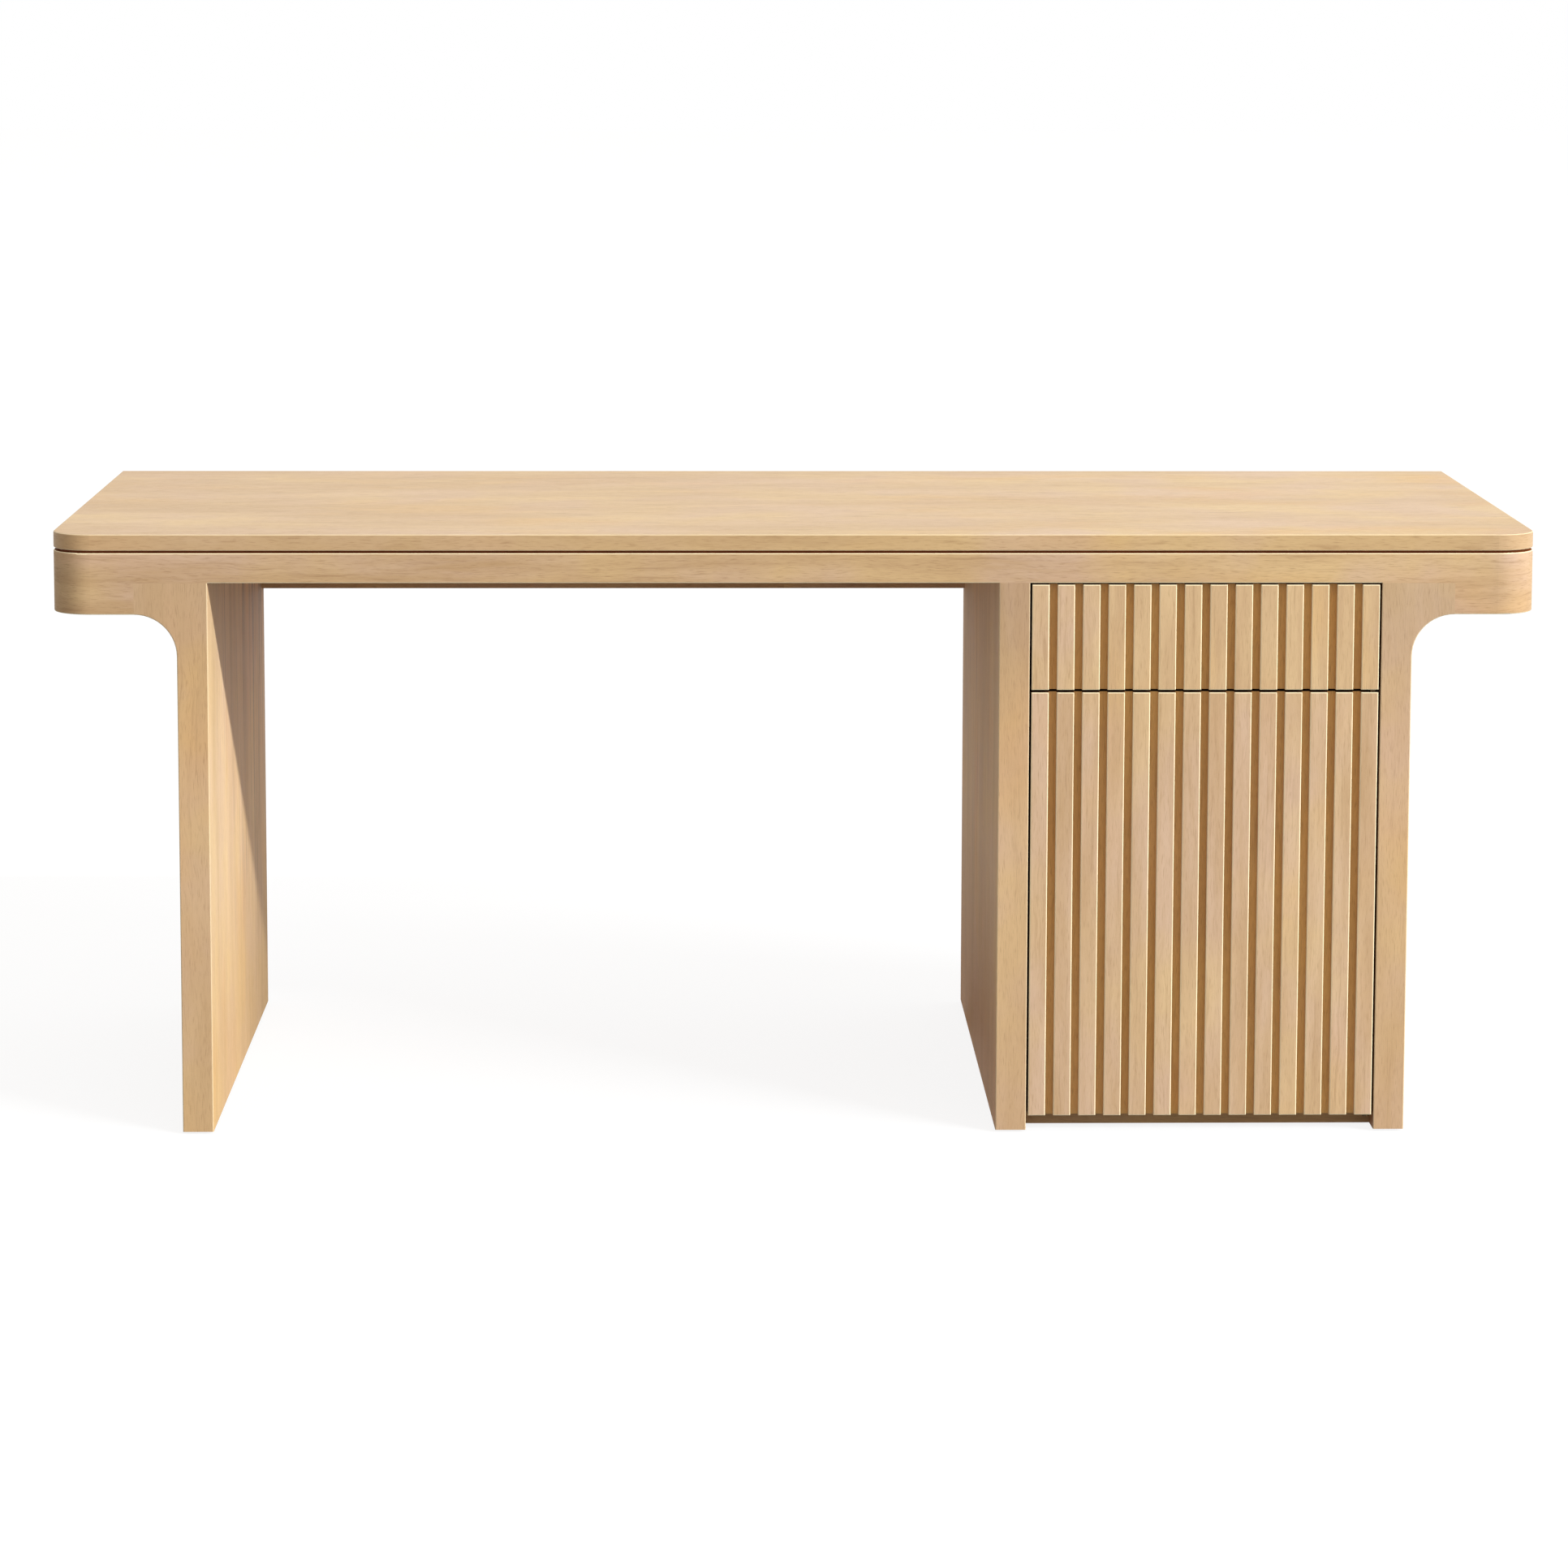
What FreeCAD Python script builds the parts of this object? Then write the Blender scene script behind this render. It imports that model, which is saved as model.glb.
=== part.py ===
import FreeCAD, Part
import Sketcher
import os

# A pedestal desk with slatted fronts, in millimetres.
# The frame has +X to the right, +Y to the back and +Z up.
# Its origin is on the floor, under the middle of the desk.

doc = FreeCAD.newDocument("slatted_desk")
sheet = doc.addObject("Spreadsheet::Sheet", "sizes")

# Driving sizes: alias, value, and what the value is.
SIZES = [
    ("desk_width", 1830, "overall width"),
    ("desk_depth", 760, "overall depth"),
    ("desk_height", 750, "overall height"),
    ("top_thickness", 20, "thickness of the top panel"),
    ("corner_radius", 50, "plan radius of the two front corners"),
    ("edge_ease", 1.5, "radius of every eased edge"),
    ("shadow_gap", 3, "height of the shadow line under the top"),
    ("shadow_inset", 8, "how far the shadow line stands back"),
    ("end_overhang", 155, "how far the top passes the outer face of a leg"),
    ("end_box_height", 76, "height of the thick overhanging ends"),
    ("cove_radius", 52, "radius of the sweep from a leg into its end box"),
    ("leg_thickness", 38, "thickness of the legs and of the pedestal's inner side"),
    ("apron_height", 37, "height of the front apron"),
    ("apron_thickness", 30, "thickness of both aprons"),
    ("back_apron_height", 137, "height of the back apron over the knee hole"),
    ("glide_height", 3, "height of the floor glides"),
    ("glide_radius", 11, "radius of the floor glides"),
    ("glide_inset", 60, "from the front or back face to the middle of a glide"),
    ("opening_width", 434, "clear width of the pedestal"),
    ("bottom_thickness", 25, "thickness of the pedestal's bottom panel"),
    ("divider_thickness", 18, "thickness of the panel between drawer and cupboard"),
    ("pedestal_back_thickness", 18, "thickness of the pedestal's back panel"),
    ("stop_clearance", 4, "from the back of the fronts to the panels behind them"),
    ("side_gap", 2.5, "gap at each side of the fronts"),
    ("apron_gap", 2, "gap between the apron and the drawer front"),
    ("front_gap", 3, "gap between the drawer front and the door"),
    ("door_lift", 18, "from the foot of the pedestal to the door"),
    ("drawer_front_height", 131, "height of the drawer front"),
    ("front_board_thickness", 20, "thickness of the boards behind the slats"),
    ("slat_thickness", 10, "how far the slats stand proud of their board"),
    ("slat_width", 21.5, "width of one slat"),
    ("slat_count", 14, "slats on each front"),
    ("slide_length", 550, "length of the drawer slides"),
    ("slide_height", 45, "height of the outer slide member"),
    ("slide_width", 12.7, "width of one slide, which is the gap beside the drawer box"),
    ("slide_sheet", 1.2, "sheet thickness of the slide members"),
    ("slide_play", 0.4, "running gap between slide members"),
    ("slide_web_gap", 0.8, "gap between the webs of the outer and middle members"),
    ("slide_lip_gap", 1.0, "gap between a member's lip and the web that it faces"),
    ("slide_setback", 1, "from the front of the divider to the front of a slide"),
    ("box_height", 100, "height of the drawer box"),
    ("box_lift", 18, "from the foot of the drawer front to the foot of its box"),
    ("box_length", 565, "length of the drawer box"),
    ("box_wall", 12, "thickness of the drawer box's walls"),
    ("box_bottom_thickness", 6, "thickness of the drawer box's bottom"),
    ("groove_lift", 10, "from the foot of the drawer box to its bottom panel"),
    ("groove_depth", 5, "depth of the grooves that hold the bottom panel"),
    ("groove_play", 0.2, "play of the bottom panel in its grooves"),
    ("shelf_thickness", 18, "thickness of the cabinet shelf"),
    ("shelf_setback", 16, "from the front of the divider to the front of the shelf"),
    ("shelf_back_gap", 5, "from the back of the shelf to the pedestal's back panel"),
    ("shelf_play", 1, "gap at each end of the shelf"),
    ("pin_height", 287, "height of the shelf pins' holes from the foot of the pedestal"),
    ("pin_inset", 55, "from the ends of the shelf to its pins"),
    ("pin_radius", 2.5, "radius of the shelf pins' shanks"),
    ("pin_head_radius", 4, "radius of the shelf pins' heads"),
    ("pin_shank", 8, "length of the shelf pins' shanks"),
    ("pin_head", 9, "length of the shelf pins' heads"),
    ("pin_fit", 0.05, "play of a shelf pin in its hole"),
    ("pin_hole_pitch", 32, "spacing of the shelf pin holes"),
    ("pin_spare_holes", 1, "spare holes over each shelf pin"),
    ("pivot_inset", 6.5, "from the hinge edge of the door to its pivot"),
    ("pivot_depth", 6, "from the front of the slats to the pivot"),
    ("pivot_clearance", 0.5, "gap between a door leaf and its fixed leaf"),
    ("hinge_pin_radius", 1.5, "radius of the hinge pins"),
    ("hinge_pin_play", 0.05, "play of a hinge pin in its door leaf"),
    ("hinge_pin_end_gap", 0.2, "from the end of a hinge pin to the mortise floor"),
    ("leaf_width", 8, "width of the hinge leaves"),
    ("leaf_reach", 18, "from the pivot to the far end of a door leaf"),
    ("leaf_play", 0.2, "play round a hinge leaf in its mortise"),
    ("kerf_depth", 20, "how far a fixed leaf runs into the panel that holds it"),
    ("latch_inset", 40, "from the free edge of the door to the touch latch"),
    ("latch_width", 14, "width of the touch latch"),
    ("latch_height", 16, "height of the touch latch"),
    ("latch_length", 55, "length of the touch latch"),
    ("latch_ear_width", 9, "width of each fixing ear of the touch latch"),
    ("latch_ear_thickness", 2.5, "thickness of the fixing ears"),
    ("latch_ear_length", 16, "length of the fixing ears"),
    ("latch_screw_radius", 1.7, "radius of the screw holes in the ears"),
    ("plunger_radius", 4, "radius of the touch latch's plunger"),
    ("plunger_play", 0.08, "play of the plunger in its bore"),
    ("plunger_length", 44, "length of the plunger"),
    ("plunger_bevel", 1.5, "bevel at the plunger's tip"),
    ("plunger_tip_gap", 0.3, "from the plunger's tip to the back of the door"),
    ("bore_spare", 4, "length of the bore behind the plunger"),
]
for row, (alias, size, note) in enumerate(SIZES, 1):
    sheet.set(f"A{row}", note)
    sheet.set(f"B{row}", str(size))
    sheet.setAlias(f"B{row}", alias)
doc.recompute()

# Places across the desk, as expressions of the sizes.
END = "(sizes.desk_width / 2)"
LEG_OUTER = f"({END} - sizes.end_overhang)"
LEG_INNER = f"({LEG_OUTER} - sizes.leg_thickness)"
FLARE_END = f"({LEG_OUTER} + sizes.cove_radius)"
PEDESTAL_LEFT = f"({LEG_INNER} - sizes.opening_width)"
PEDESTAL_SIDE = f"({PEDESTAL_LEFT} - sizes.leg_thickness)"
FRONTS_LEFT = f"({PEDESTAL_LEFT} + sizes.side_gap)"
FRONTS_WIDTH = "(sizes.opening_width - 2 * sizes.side_gap)"
PIVOT_ACROSS = f"({FRONTS_LEFT} + {FRONTS_WIDTH} - sizes.pivot_inset)"
SLAT_PITCH = f"(({FRONTS_WIDTH} - sizes.slat_width) / (sizes.slat_count - 1))"
BOX_LEFT = f"({PEDESTAL_LEFT} + sizes.slide_width)"
BOX_RIGHT = f"({LEG_INNER} - sizes.slide_width)"

# Places from front to back.
FRONT = "(-sizes.desk_depth / 2)"
BACK = "(sizes.desk_depth / 2)"
SLATS_BACK = f"({FRONT} + sizes.slat_thickness)"
FRONTS_BACK = f"({SLATS_BACK} + sizes.front_board_thickness)"
PANELS_FRONT = f"({FRONTS_BACK} + sizes.stop_clearance)"
PANELS_BACK = f"({BACK} - sizes.pedestal_back_thickness)"
PIVOT_BACK = f"({FRONT} + sizes.pivot_depth)"
SHELF_FRONT = f"({PANELS_FRONT} + sizes.shelf_setback)"
SHELF_BACK = f"({PANELS_BACK} - sizes.shelf_back_gap)"

# Places up the desk.
FOOT = "sizes.glide_height"
TOP_UNDER = "(sizes.desk_height - sizes.top_thickness)"
FRAME_TOP = f"({TOP_UNDER} - sizes.shadow_gap)"
APRON_FOOT = f"({FRAME_TOP} - sizes.apron_height)"
END_BOX_FOOT = f"({FRAME_TOP} - sizes.end_box_height)"
BACK_APRON_FOOT = f"({FRAME_TOP} - sizes.back_apron_height)"
DRAWER_FOOT = f"({APRON_FOOT} - sizes.apron_gap - sizes.drawer_front_height)"
DOOR_HEAD = f"({DRAWER_FOOT} - sizes.front_gap)"
DOOR_FOOT = f"({FOOT} + sizes.door_lift)"
DOOR_HEIGHT = f"({DOOR_HEAD} - {DOOR_FOOT})"
DIVIDER_FOOT = f"({DRAWER_FOOT} - sizes.front_gap / 2 - sizes.divider_thickness / 2)"
BOX_FOOT = f"({DRAWER_FOOT} + sizes.box_lift)"
SLIDE_MIDDLE = f"({BOX_FOOT} + sizes.box_height / 2)"
PIN_LEVEL = f"({FOOT} + sizes.pin_height)"
SHELF_FOOT = f"({PIN_LEVEL} + sizes.pin_head_radius)"

# A hinge leaf fills the gap between the fronts, less a clearance on each side.
LEAF_THICKNESS = "(sizes.front_gap - 2 * sizes.pivot_clearance)"
UPPER_LEAF_FOOT = f"({DOOR_HEAD} + sizes.pivot_clearance)"
LOWER_LEAF_FOOT = f"({DOOR_FOOT} - sizes.pivot_clearance - {LEAF_THICKNESS})"


def number(expression):
    """The present value of an expression."""
    return float(sheet.evalExpression(expression))


def new_body(label):
    """An empty body whose label names its file."""
    body = doc.addObject("PartDesign::Body", label)
    body.Label = label
    return body


def place(thing, corner):
    """Binds the position of a body or solid to three expressions."""
    for axis, expression in zip("xyz", corner):
        thing.setExpression(f".Placement.Base.{axis}", expression)


def new_sketch(body, role, lift=None):
    """A sketch on one of the body's own origin planes, lifted off it if asked."""
    plane = next(item for item in body.Origin.OriginFeatures if item.Role == role)
    sketch = body.newObject("Sketcher::SketchObject", body.Name + "_sketch")
    sketch.AttachmentSupport = (plane, [""])
    sketch.MapMode = "FlatFace"
    if lift:
        sketch.setExpression(".AttachmentOffset.Base.z", lift)
    return sketch


def bind(sketch, kind, geometry, expression):
    """Adds one driving constraint and binds it to an expression."""
    index = sketch.addConstraint(Sketcher.Constraint(kind, *geometry, number(expression)))
    name = f"{kind}_{index}"
    sketch.renameConstraint(index, name)
    sketch.setExpression(f"Constraints.{name}", expression)


def draw_outline(sketch, points, arcs=None):
    """A closed outline through points given as pairs of expressions.

    arcs holds, for a stretch that starts at a point's index, the centre of its
    arc, as expressions, and whether it turns anticlockwise.
    """
    arcs = arcs or {}
    places = [FreeCAD.Vector(number(across), number(up), 0) for across, up in points]
    ends = []
    for index, start in enumerate(places):
        finish = places[(index + 1) % len(places)]
        if index not in arcs:
            line = sketch.addGeometry(Part.LineSegment(start, finish), False)
            ends.append((line, 1, 2))
            continue
        (across, up), anticlockwise = arcs[index]
        centre = FreeCAD.Vector(number(across), number(up), 0)
        circle = Part.Circle(centre, FreeCAD.Vector(0, 0, 1), centre.distanceToPoint(start))
        first, last = (start, finish) if anticlockwise else (finish, start)
        turn = Part.ArcOfCircle(circle, circle.parameter(first), circle.parameter(last))
        arc = sketch.addGeometry(turn, False)
        ends.append((arc, 1, 2) if anticlockwise else (arc, 2, 1))
    for index, (item, _, finish) in enumerate(ends):
        following, start, _ = ends[(index + 1) % len(ends)]
        sketch.addConstraint(Sketcher.Constraint("Coincident", item, finish, following, start))
    for index, (across, up) in enumerate(points):
        item, start, _ = ends[index]
        bind(sketch, "DistanceX", (-1, 1, item, start), across)
        bind(sketch, "DistanceY", (-1, 1, item, start), up)
    for index, ((_, up), _) in arcs.items():
        bind(sketch, "DistanceY", (-1, 1, ends[index][0], 3), up)


def draw_rectangle(sketch, low, high):
    """A rectangle between two corners given as pairs of expressions."""
    draw_outline(sketch, [low, (high[0], low[1]), high, (low[0], high[1])])


def draw_circle(sketch, centre, radius):
    """A circle whose centre and radius are expressions."""
    middle = FreeCAD.Vector(number(centre[0]), number(centre[1]), 0)
    circle = Part.Circle(middle, FreeCAD.Vector(0, 0, 1), number(radius))
    item = sketch.addGeometry(circle, False)
    bind(sketch, "DistanceX", (-1, 1, item, 3), centre[0])
    bind(sketch, "DistanceY", (-1, 1, item, 3), centre[1])
    bind(sketch, "Radius", (item,), radius)


def pad(body, sketch, length, both_ways=False, reverse=False):
    """Grows a sketch by a length, along its normal or half to each side."""
    feature = body.newObject("PartDesign::Pad", body.Name + "_pad")
    feature.Profile = sketch
    feature.SideType = "Symmetric" if both_ways else "One side"
    feature.Reversed = reverse
    feature.setExpression("Length", length)
    doc.recompute()
    return feature


def pocket(body, sketch, depth=None, reverse=False):
    """Cuts a sketch to a depth, or through everything both ways, and checks that it cut."""
    before = body.Shape.Volume
    feature = body.newObject("PartDesign::Pocket", body.Name + "_pocket")
    feature.Profile = sketch
    feature.Reversed = reverse
    if depth:
        feature.setExpression("Length", depth)
    else:
        feature.Type = "ThroughAll"
        feature.SideType = "Symmetric"
    doc.recompute()
    if not body.Shape.Volume < before:
        raise RuntimeError(f"{feature.Label} cut nothing")
    return feature


def round_edges(body, radius, chosen):
    """Rounds the edges whose two ends pass a test, to a radius."""
    names = []
    for index, edge in enumerate(body.Shape.Edges, 1):
        placement = body.Placement.inverse()
        ends = [placement.multVec(vertex.Point) for vertex in edge.Vertexes]
        if len(ends) == 2 and chosen(*ends):
            names.append(f"Edge{index}")
    if not names:
        raise RuntimeError(f"{body.Label} has no such edge to round")
    base = body.Tip
    feature = body.newObject("PartDesign::Fillet", body.Name + "_round")
    feature.Base = (base, names)
    feature.setExpression("Radius", radius)
    doc.recompute()
    return feature


def near(first, second):
    """Whether two places are the same, to a hair."""
    return abs(first - second) < 1e-4


def board(label, corner, lengths):
    """A rectangular board from its lowest corner and three lengths, all expressions."""
    body = new_body(label)
    sketch = new_sketch(body, "XY_Plane")
    draw_rectangle(sketch, ("0", "0"), (lengths[0], lengths[1]))
    pad(body, sketch, lengths[2])
    place(body, corner)
    doc.recompute()
    return body


# The top panel: two round front corners, then an eased edge all round.
top_panel = board(
    "top_panel",
    (f"-{END}", FRONT, TOP_UNDER),
    ("sizes.desk_width", "sizes.desk_depth", "sizes.top_thickness"),
)
round_edges(top_panel, "sizes.corner_radius", lambda a, b: near(a.y, 0) and near(b.y, 0) and near(a.x, b.x))
round_edges(top_panel, "sizes.edge_ease", lambda a, b: near(a.z, b.z))

# The board under it stands back on every side and leaves a dark line.
shadow_gap_board = board(
    "shadow_gap_board",
    (f"-{END} + sizes.shadow_inset", f"{FRONT} + sizes.shadow_inset", FRAME_TOP),
    (
        "sizes.desk_width - 2 * sizes.shadow_inset",
        "sizes.desk_depth - 2 * sizes.shadow_inset",
        "sizes.shadow_gap",
    ),
)
round_edges(
    shadow_gap_board,
    "sizes.corner_radius - sizes.shadow_inset",
    lambda a, b: near(a.y, 0) and near(b.y, 0) and near(a.x, b.x),
)


def end_box(label, left_face, outer_place):
    """One thick overhanging end, round at its outer front corner and eased but at its joint."""
    body = board(
        label,
        (left_face, FRONT, END_BOX_FOOT),
        (f"{END} - {FLARE_END}", "sizes.desk_depth", "sizes.end_box_height"),
    )
    outer = number(outer_place)
    joint = number(f"{END} - {FLARE_END}") - outer

    def is_corner(a, b):
        return near(a.y, 0) and near(b.y, 0) and near(a.x, outer) and near(b.x, outer)

    def is_rim(a, b):
        return near(a.z, b.z) and not (near(a.x, joint) and near(b.x, joint))

    round_edges(body, "sizes.corner_radius", is_corner)
    round_edges(body, "sizes.edge_ease", is_rim)
    return body


left_end_box = end_box("left_end_box", f"-{END}", "0")
right_end_box = end_box("right_end_box", FLARE_END, f"{END} - {FLARE_END}")


def cut_apron_notches(body):
    """Cuts the upper front and back corners of a panel, where the aprons pass."""
    sketch = new_sketch(body, "YZ_Plane")
    low = f"{APRON_FOOT} - {FOOT}"
    high = f"{FRAME_TOP} - {FOOT}"
    draw_rectangle(sketch, (FRONT, low), (f"{FRONT} + sizes.apron_thickness", high))
    draw_rectangle(sketch, (f"{BACK} - sizes.apron_thickness", low), (BACK, high))
    pocket(body, sketch)


def drill_pin_holes(body, face_across, towards_right):
    """Two upright rows of blind shelf pin holes in one face of a pedestal panel."""
    sketch = new_sketch(body, "YZ_Plane", face_across)
    lowest = f"{PIN_LEVEL} - {FOOT}"
    for depth in (f"{SHELF_FRONT} + sizes.pin_inset", f"{SHELF_BACK} - sizes.pin_inset"):
        draw_circle(sketch, (depth, lowest), "sizes.pin_radius + sizes.pin_fit")
    holes = pocket(body, sketch, "sizes.pin_shank + sizes.pin_fit", reverse=towards_right)
    one_pair = body.Shape.Volume
    rows = body.newObject("PartDesign::LinearPattern", body.Name + "_rows")
    rows.Originals = [holes]
    upright = next(item for item in body.Origin.OriginFeatures if item.Role == "Z_Axis")
    rows.Direction = (upright, [""])
    rows.setExpression("Occurrences", "sizes.pin_spare_holes + 1")
    rows.setExpression("Length", "sizes.pin_spare_holes * sizes.pin_hole_pitch")
    body.Tip = rows
    doc.recompute()
    if not body.Shape.Volume < one_pair:
        raise RuntimeError(f"{rows.Label} repeated no hole")


def leg(label):
    """A slab leg that sweeps out in a cove under its end box, drawn with its outer face at x = 0."""
    body = new_body(label)
    sketch = new_sketch(body, "XZ_Plane")
    cove_start = f"{END_BOX_FOOT} - {FOOT} - sizes.cove_radius"
    flare_foot = f"{END_BOX_FOOT} - {FOOT}"
    head = f"{FRAME_TOP} - {FOOT}"
    points = [
        ("-sizes.leg_thickness", "0"),
        ("0", "0"),
        ("0", cove_start),
        ("sizes.cove_radius", flare_foot),
        ("sizes.cove_radius", head),
        ("-sizes.leg_thickness", head),
    ]
    cove = (("sizes.cove_radius", cove_start), False)
    draw_outline(sketch, points, {2: cove})
    pad(body, sketch, "sizes.desk_depth", both_ways=True)
    cut_apron_notches(body)
    face = number(BACK)
    inner = -number("sizes.leg_thickness")
    flare = number("sizes.cove_radius")

    def is_face_edge(a, b):
        on_face = near(abs(a.y), face) and near(a.y, b.y)
        upright = near(a.x, b.x) and (near(a.x, inner) or near(a.x, 0))
        cove_edge = {round(a.x, 3), round(b.x, 3)} == {0, round(flare, 3)}
        return on_face and (upright or cove_edge)

    round_edges(body, "sizes.edge_ease", is_face_edge)
    return body


left_leg = leg("left_leg")
left_leg.Placement.Rotation = FreeCAD.Rotation(FreeCAD.Vector(0, 0, 1), 180)
place(left_leg, (f"-{LEG_OUTER}", "0", FOOT))
right_leg = leg("right_leg")
place(right_leg, (LEG_OUTER, "0", FOOT))
drill_pin_holes(right_leg, "-sizes.leg_thickness", towards_right=True)

# The pedestal's inner side is a plain slab with the same notches.
pedestal_inner_side = new_body("pedestal_inner_side")
side_sketch = new_sketch(pedestal_inner_side, "XZ_Plane")
draw_rectangle(side_sketch, ("0", "0"), ("sizes.leg_thickness", f"{FRAME_TOP} - {FOOT}"))
pad(pedestal_inner_side, side_sketch, "sizes.desk_depth", both_ways=True)
cut_apron_notches(pedestal_inner_side)
side_face = number(BACK)
round_edges(
    pedestal_inner_side,
    "sizes.edge_ease",
    lambda a, b: near(abs(a.y), side_face) and near(a.y, b.y) and near(a.x, b.x),
)
drill_pin_holes(pedestal_inner_side, "sizes.leg_thickness", towards_right=False)
place(pedestal_inner_side, (PEDESTAL_SIDE, "0", FOOT))

# The front apron passes the legs flush; its lower edge is eased only where it shows.
front_apron = board(
    "front_apron",
    (f"-{FLARE_END}", FRONT, APRON_FOOT),
    (f"2 * {FLARE_END}", "sizes.apron_thickness", "sizes.apron_height"),
)
apron_head = number("sizes.apron_height")
round_edges(
    front_apron,
    "sizes.edge_ease",
    lambda a, b: near(a.y, 0) and near(b.y, 0) and near(a.z, apron_head) and near(b.z, apron_head),
)
for start, finish in ((f"-{LEG_INNER}", PEDESTAL_SIDE), (PEDESTAL_LEFT, LEG_INNER)):
    ease_sketch = new_sketch(front_apron, "YZ_Plane", f"{start} + {FLARE_END}")
    draw_outline(
        ease_sketch,
        [("0", "0"), ("sizes.edge_ease", "0"), ("0", "sizes.edge_ease")],
        {1: (("sizes.edge_ease", "sizes.edge_ease"), False)},
    )
    pocket(front_apron, ease_sketch, f"{finish} - {start}", reverse=True)

# The back apron drops lower over the knee hole, where it stiffens the desk.
back_apron = new_body("back_apron")
drop = "sizes.back_apron_height - sizes.apron_height"
back_sketch = new_sketch(back_apron, "XZ_Plane")
draw_outline(
    back_sketch,
    [
        (f"-{LEG_INNER}", "0"),
        (PEDESTAL_SIDE, "0"),
        (PEDESTAL_SIDE, drop),
        (FLARE_END, drop),
        (FLARE_END, "sizes.back_apron_height"),
        (f"-{FLARE_END}", "sizes.back_apron_height"),
        (f"-{FLARE_END}", drop),
        (f"-{LEG_INNER}", drop),
    ],
)
pad(back_apron, back_sketch, "sizes.apron_thickness")
back_apron_head = number("sizes.back_apron_height")


def is_outer_edge(a, b):
    """Whether an edge is one of the back face's two level edges that show."""
    shows = near(a.z, 0) or near(a.z, back_apron_head)
    return near(a.y, 0) and near(b.y, 0) and near(a.z, b.z) and shows


round_edges(back_apron, "sizes.edge_ease", is_outer_edge)
place(back_apron, ("0", BACK, BACK_APRON_FOOT))

# Floor glides: two under each upright panel.
glides = []
glide_middles = (
    f"-{LEG_OUTER} + sizes.leg_thickness / 2",
    f"{PEDESTAL_SIDE} + sizes.leg_thickness / 2",
    f"{LEG_INNER} + sizes.leg_thickness / 2",
)
for across in glide_middles:
    for depth in (f"{FRONT} + sizes.glide_inset", f"{BACK} - sizes.glide_inset"):
        glide = doc.addObject("Part::Cylinder", "glide")
        glide.setExpression("Radius", "sizes.glide_radius")
        glide.setExpression("Height", "sizes.glide_height")
        place(glide, (across, depth, "0"))
        glides.append(glide)
floor_glides = doc.addObject("Part::Compound", "floor_glides")
floor_glides.Links = glides

# Panels of the pedestal.
PANEL_LENGTH = f"({PANELS_BACK} - {PANELS_FRONT})"
pedestal_bottom = board(
    "pedestal_bottom",
    (PEDESTAL_LEFT, PANELS_FRONT, FOOT),
    ("sizes.opening_width", PANEL_LENGTH, "sizes.bottom_thickness"),
)
drawer_divider = board(
    "drawer_divider",
    (PEDESTAL_LEFT, PANELS_FRONT, DIVIDER_FOOT),
    ("sizes.opening_width", PANEL_LENGTH, "sizes.divider_thickness"),
)
pedestal_back = board(
    "pedestal_back",
    (PEDESTAL_LEFT, PANELS_BACK, FOOT),
    ("sizes.opening_width", "sizes.pedestal_back_thickness", f"{APRON_FOOT} - {FOOT}"),
)
cabinet_shelf = board(
    "cabinet_shelf",
    (f"{PEDESTAL_LEFT} + sizes.shelf_play", SHELF_FRONT, SHELF_FOOT),
    (
        "sizes.opening_width - 2 * sizes.shelf_play",
        f"{SHELF_BACK} - {SHELF_FRONT}",
        "sizes.shelf_thickness",
    ),
)
round_edges(
    cabinet_shelf,
    "sizes.edge_ease",
    lambda a, b: near(a.y, 0) and near(b.y, 0) and near(a.z, b.z),
)


def shelf_pin(depth, left):
    """A turned pin: its shank is in the panel and its head carries the shelf."""
    body = new_body("shelf_pin")
    sketch = new_sketch(body, "XZ_Plane")
    points = [
        ("-sizes.pin_shank", "0"),
        ("sizes.pin_head", "0"),
        ("sizes.pin_head", "sizes.pin_head_radius"),
        ("0", "sizes.pin_head_radius"),
        ("0", "sizes.pin_radius"),
        ("-sizes.pin_shank", "sizes.pin_radius"),
    ]
    draw_outline(sketch, points)
    turned = body.newObject("PartDesign::Revolution", "shelf_pin_turned")
    turned.Profile = sketch
    turned.ReferenceAxis = (sketch, ["H_Axis"])
    turned.Angle = 360
    if not left:
        body.Placement.Rotation = FreeCAD.Rotation(FreeCAD.Vector(0, 0, 1), 180)
    place(body, (PEDESTAL_LEFT if left else LEG_INNER, depth, PIN_LEVEL))
    return body


PIN_DEPTHS = (f"{SHELF_FRONT} + sizes.pin_inset", f"{SHELF_BACK} - sizes.pin_inset")
shelf_pins = doc.addObject("Part::Compound", "shelf_pins")
shelf_pins.Links = [shelf_pin(depth, left) for left in (True, False) for depth in PIN_DEPTHS]


def draw_leaf(sketch, middle, reach, margin):
    """A leaf outline: round about the pivot, square at the end that lies further back."""
    across, depth = middle
    radius = f"(sizes.leaf_width / 2 + {margin})"
    left = f"{across} - {radius}"
    right = f"{across} + {radius}"
    end = f"{depth} + {reach} + {margin}"
    front_end = ((across, depth), True)
    draw_outline(sketch, [(left, depth), (right, depth), (right, end), (left, end)], {0: front_end})


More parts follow.
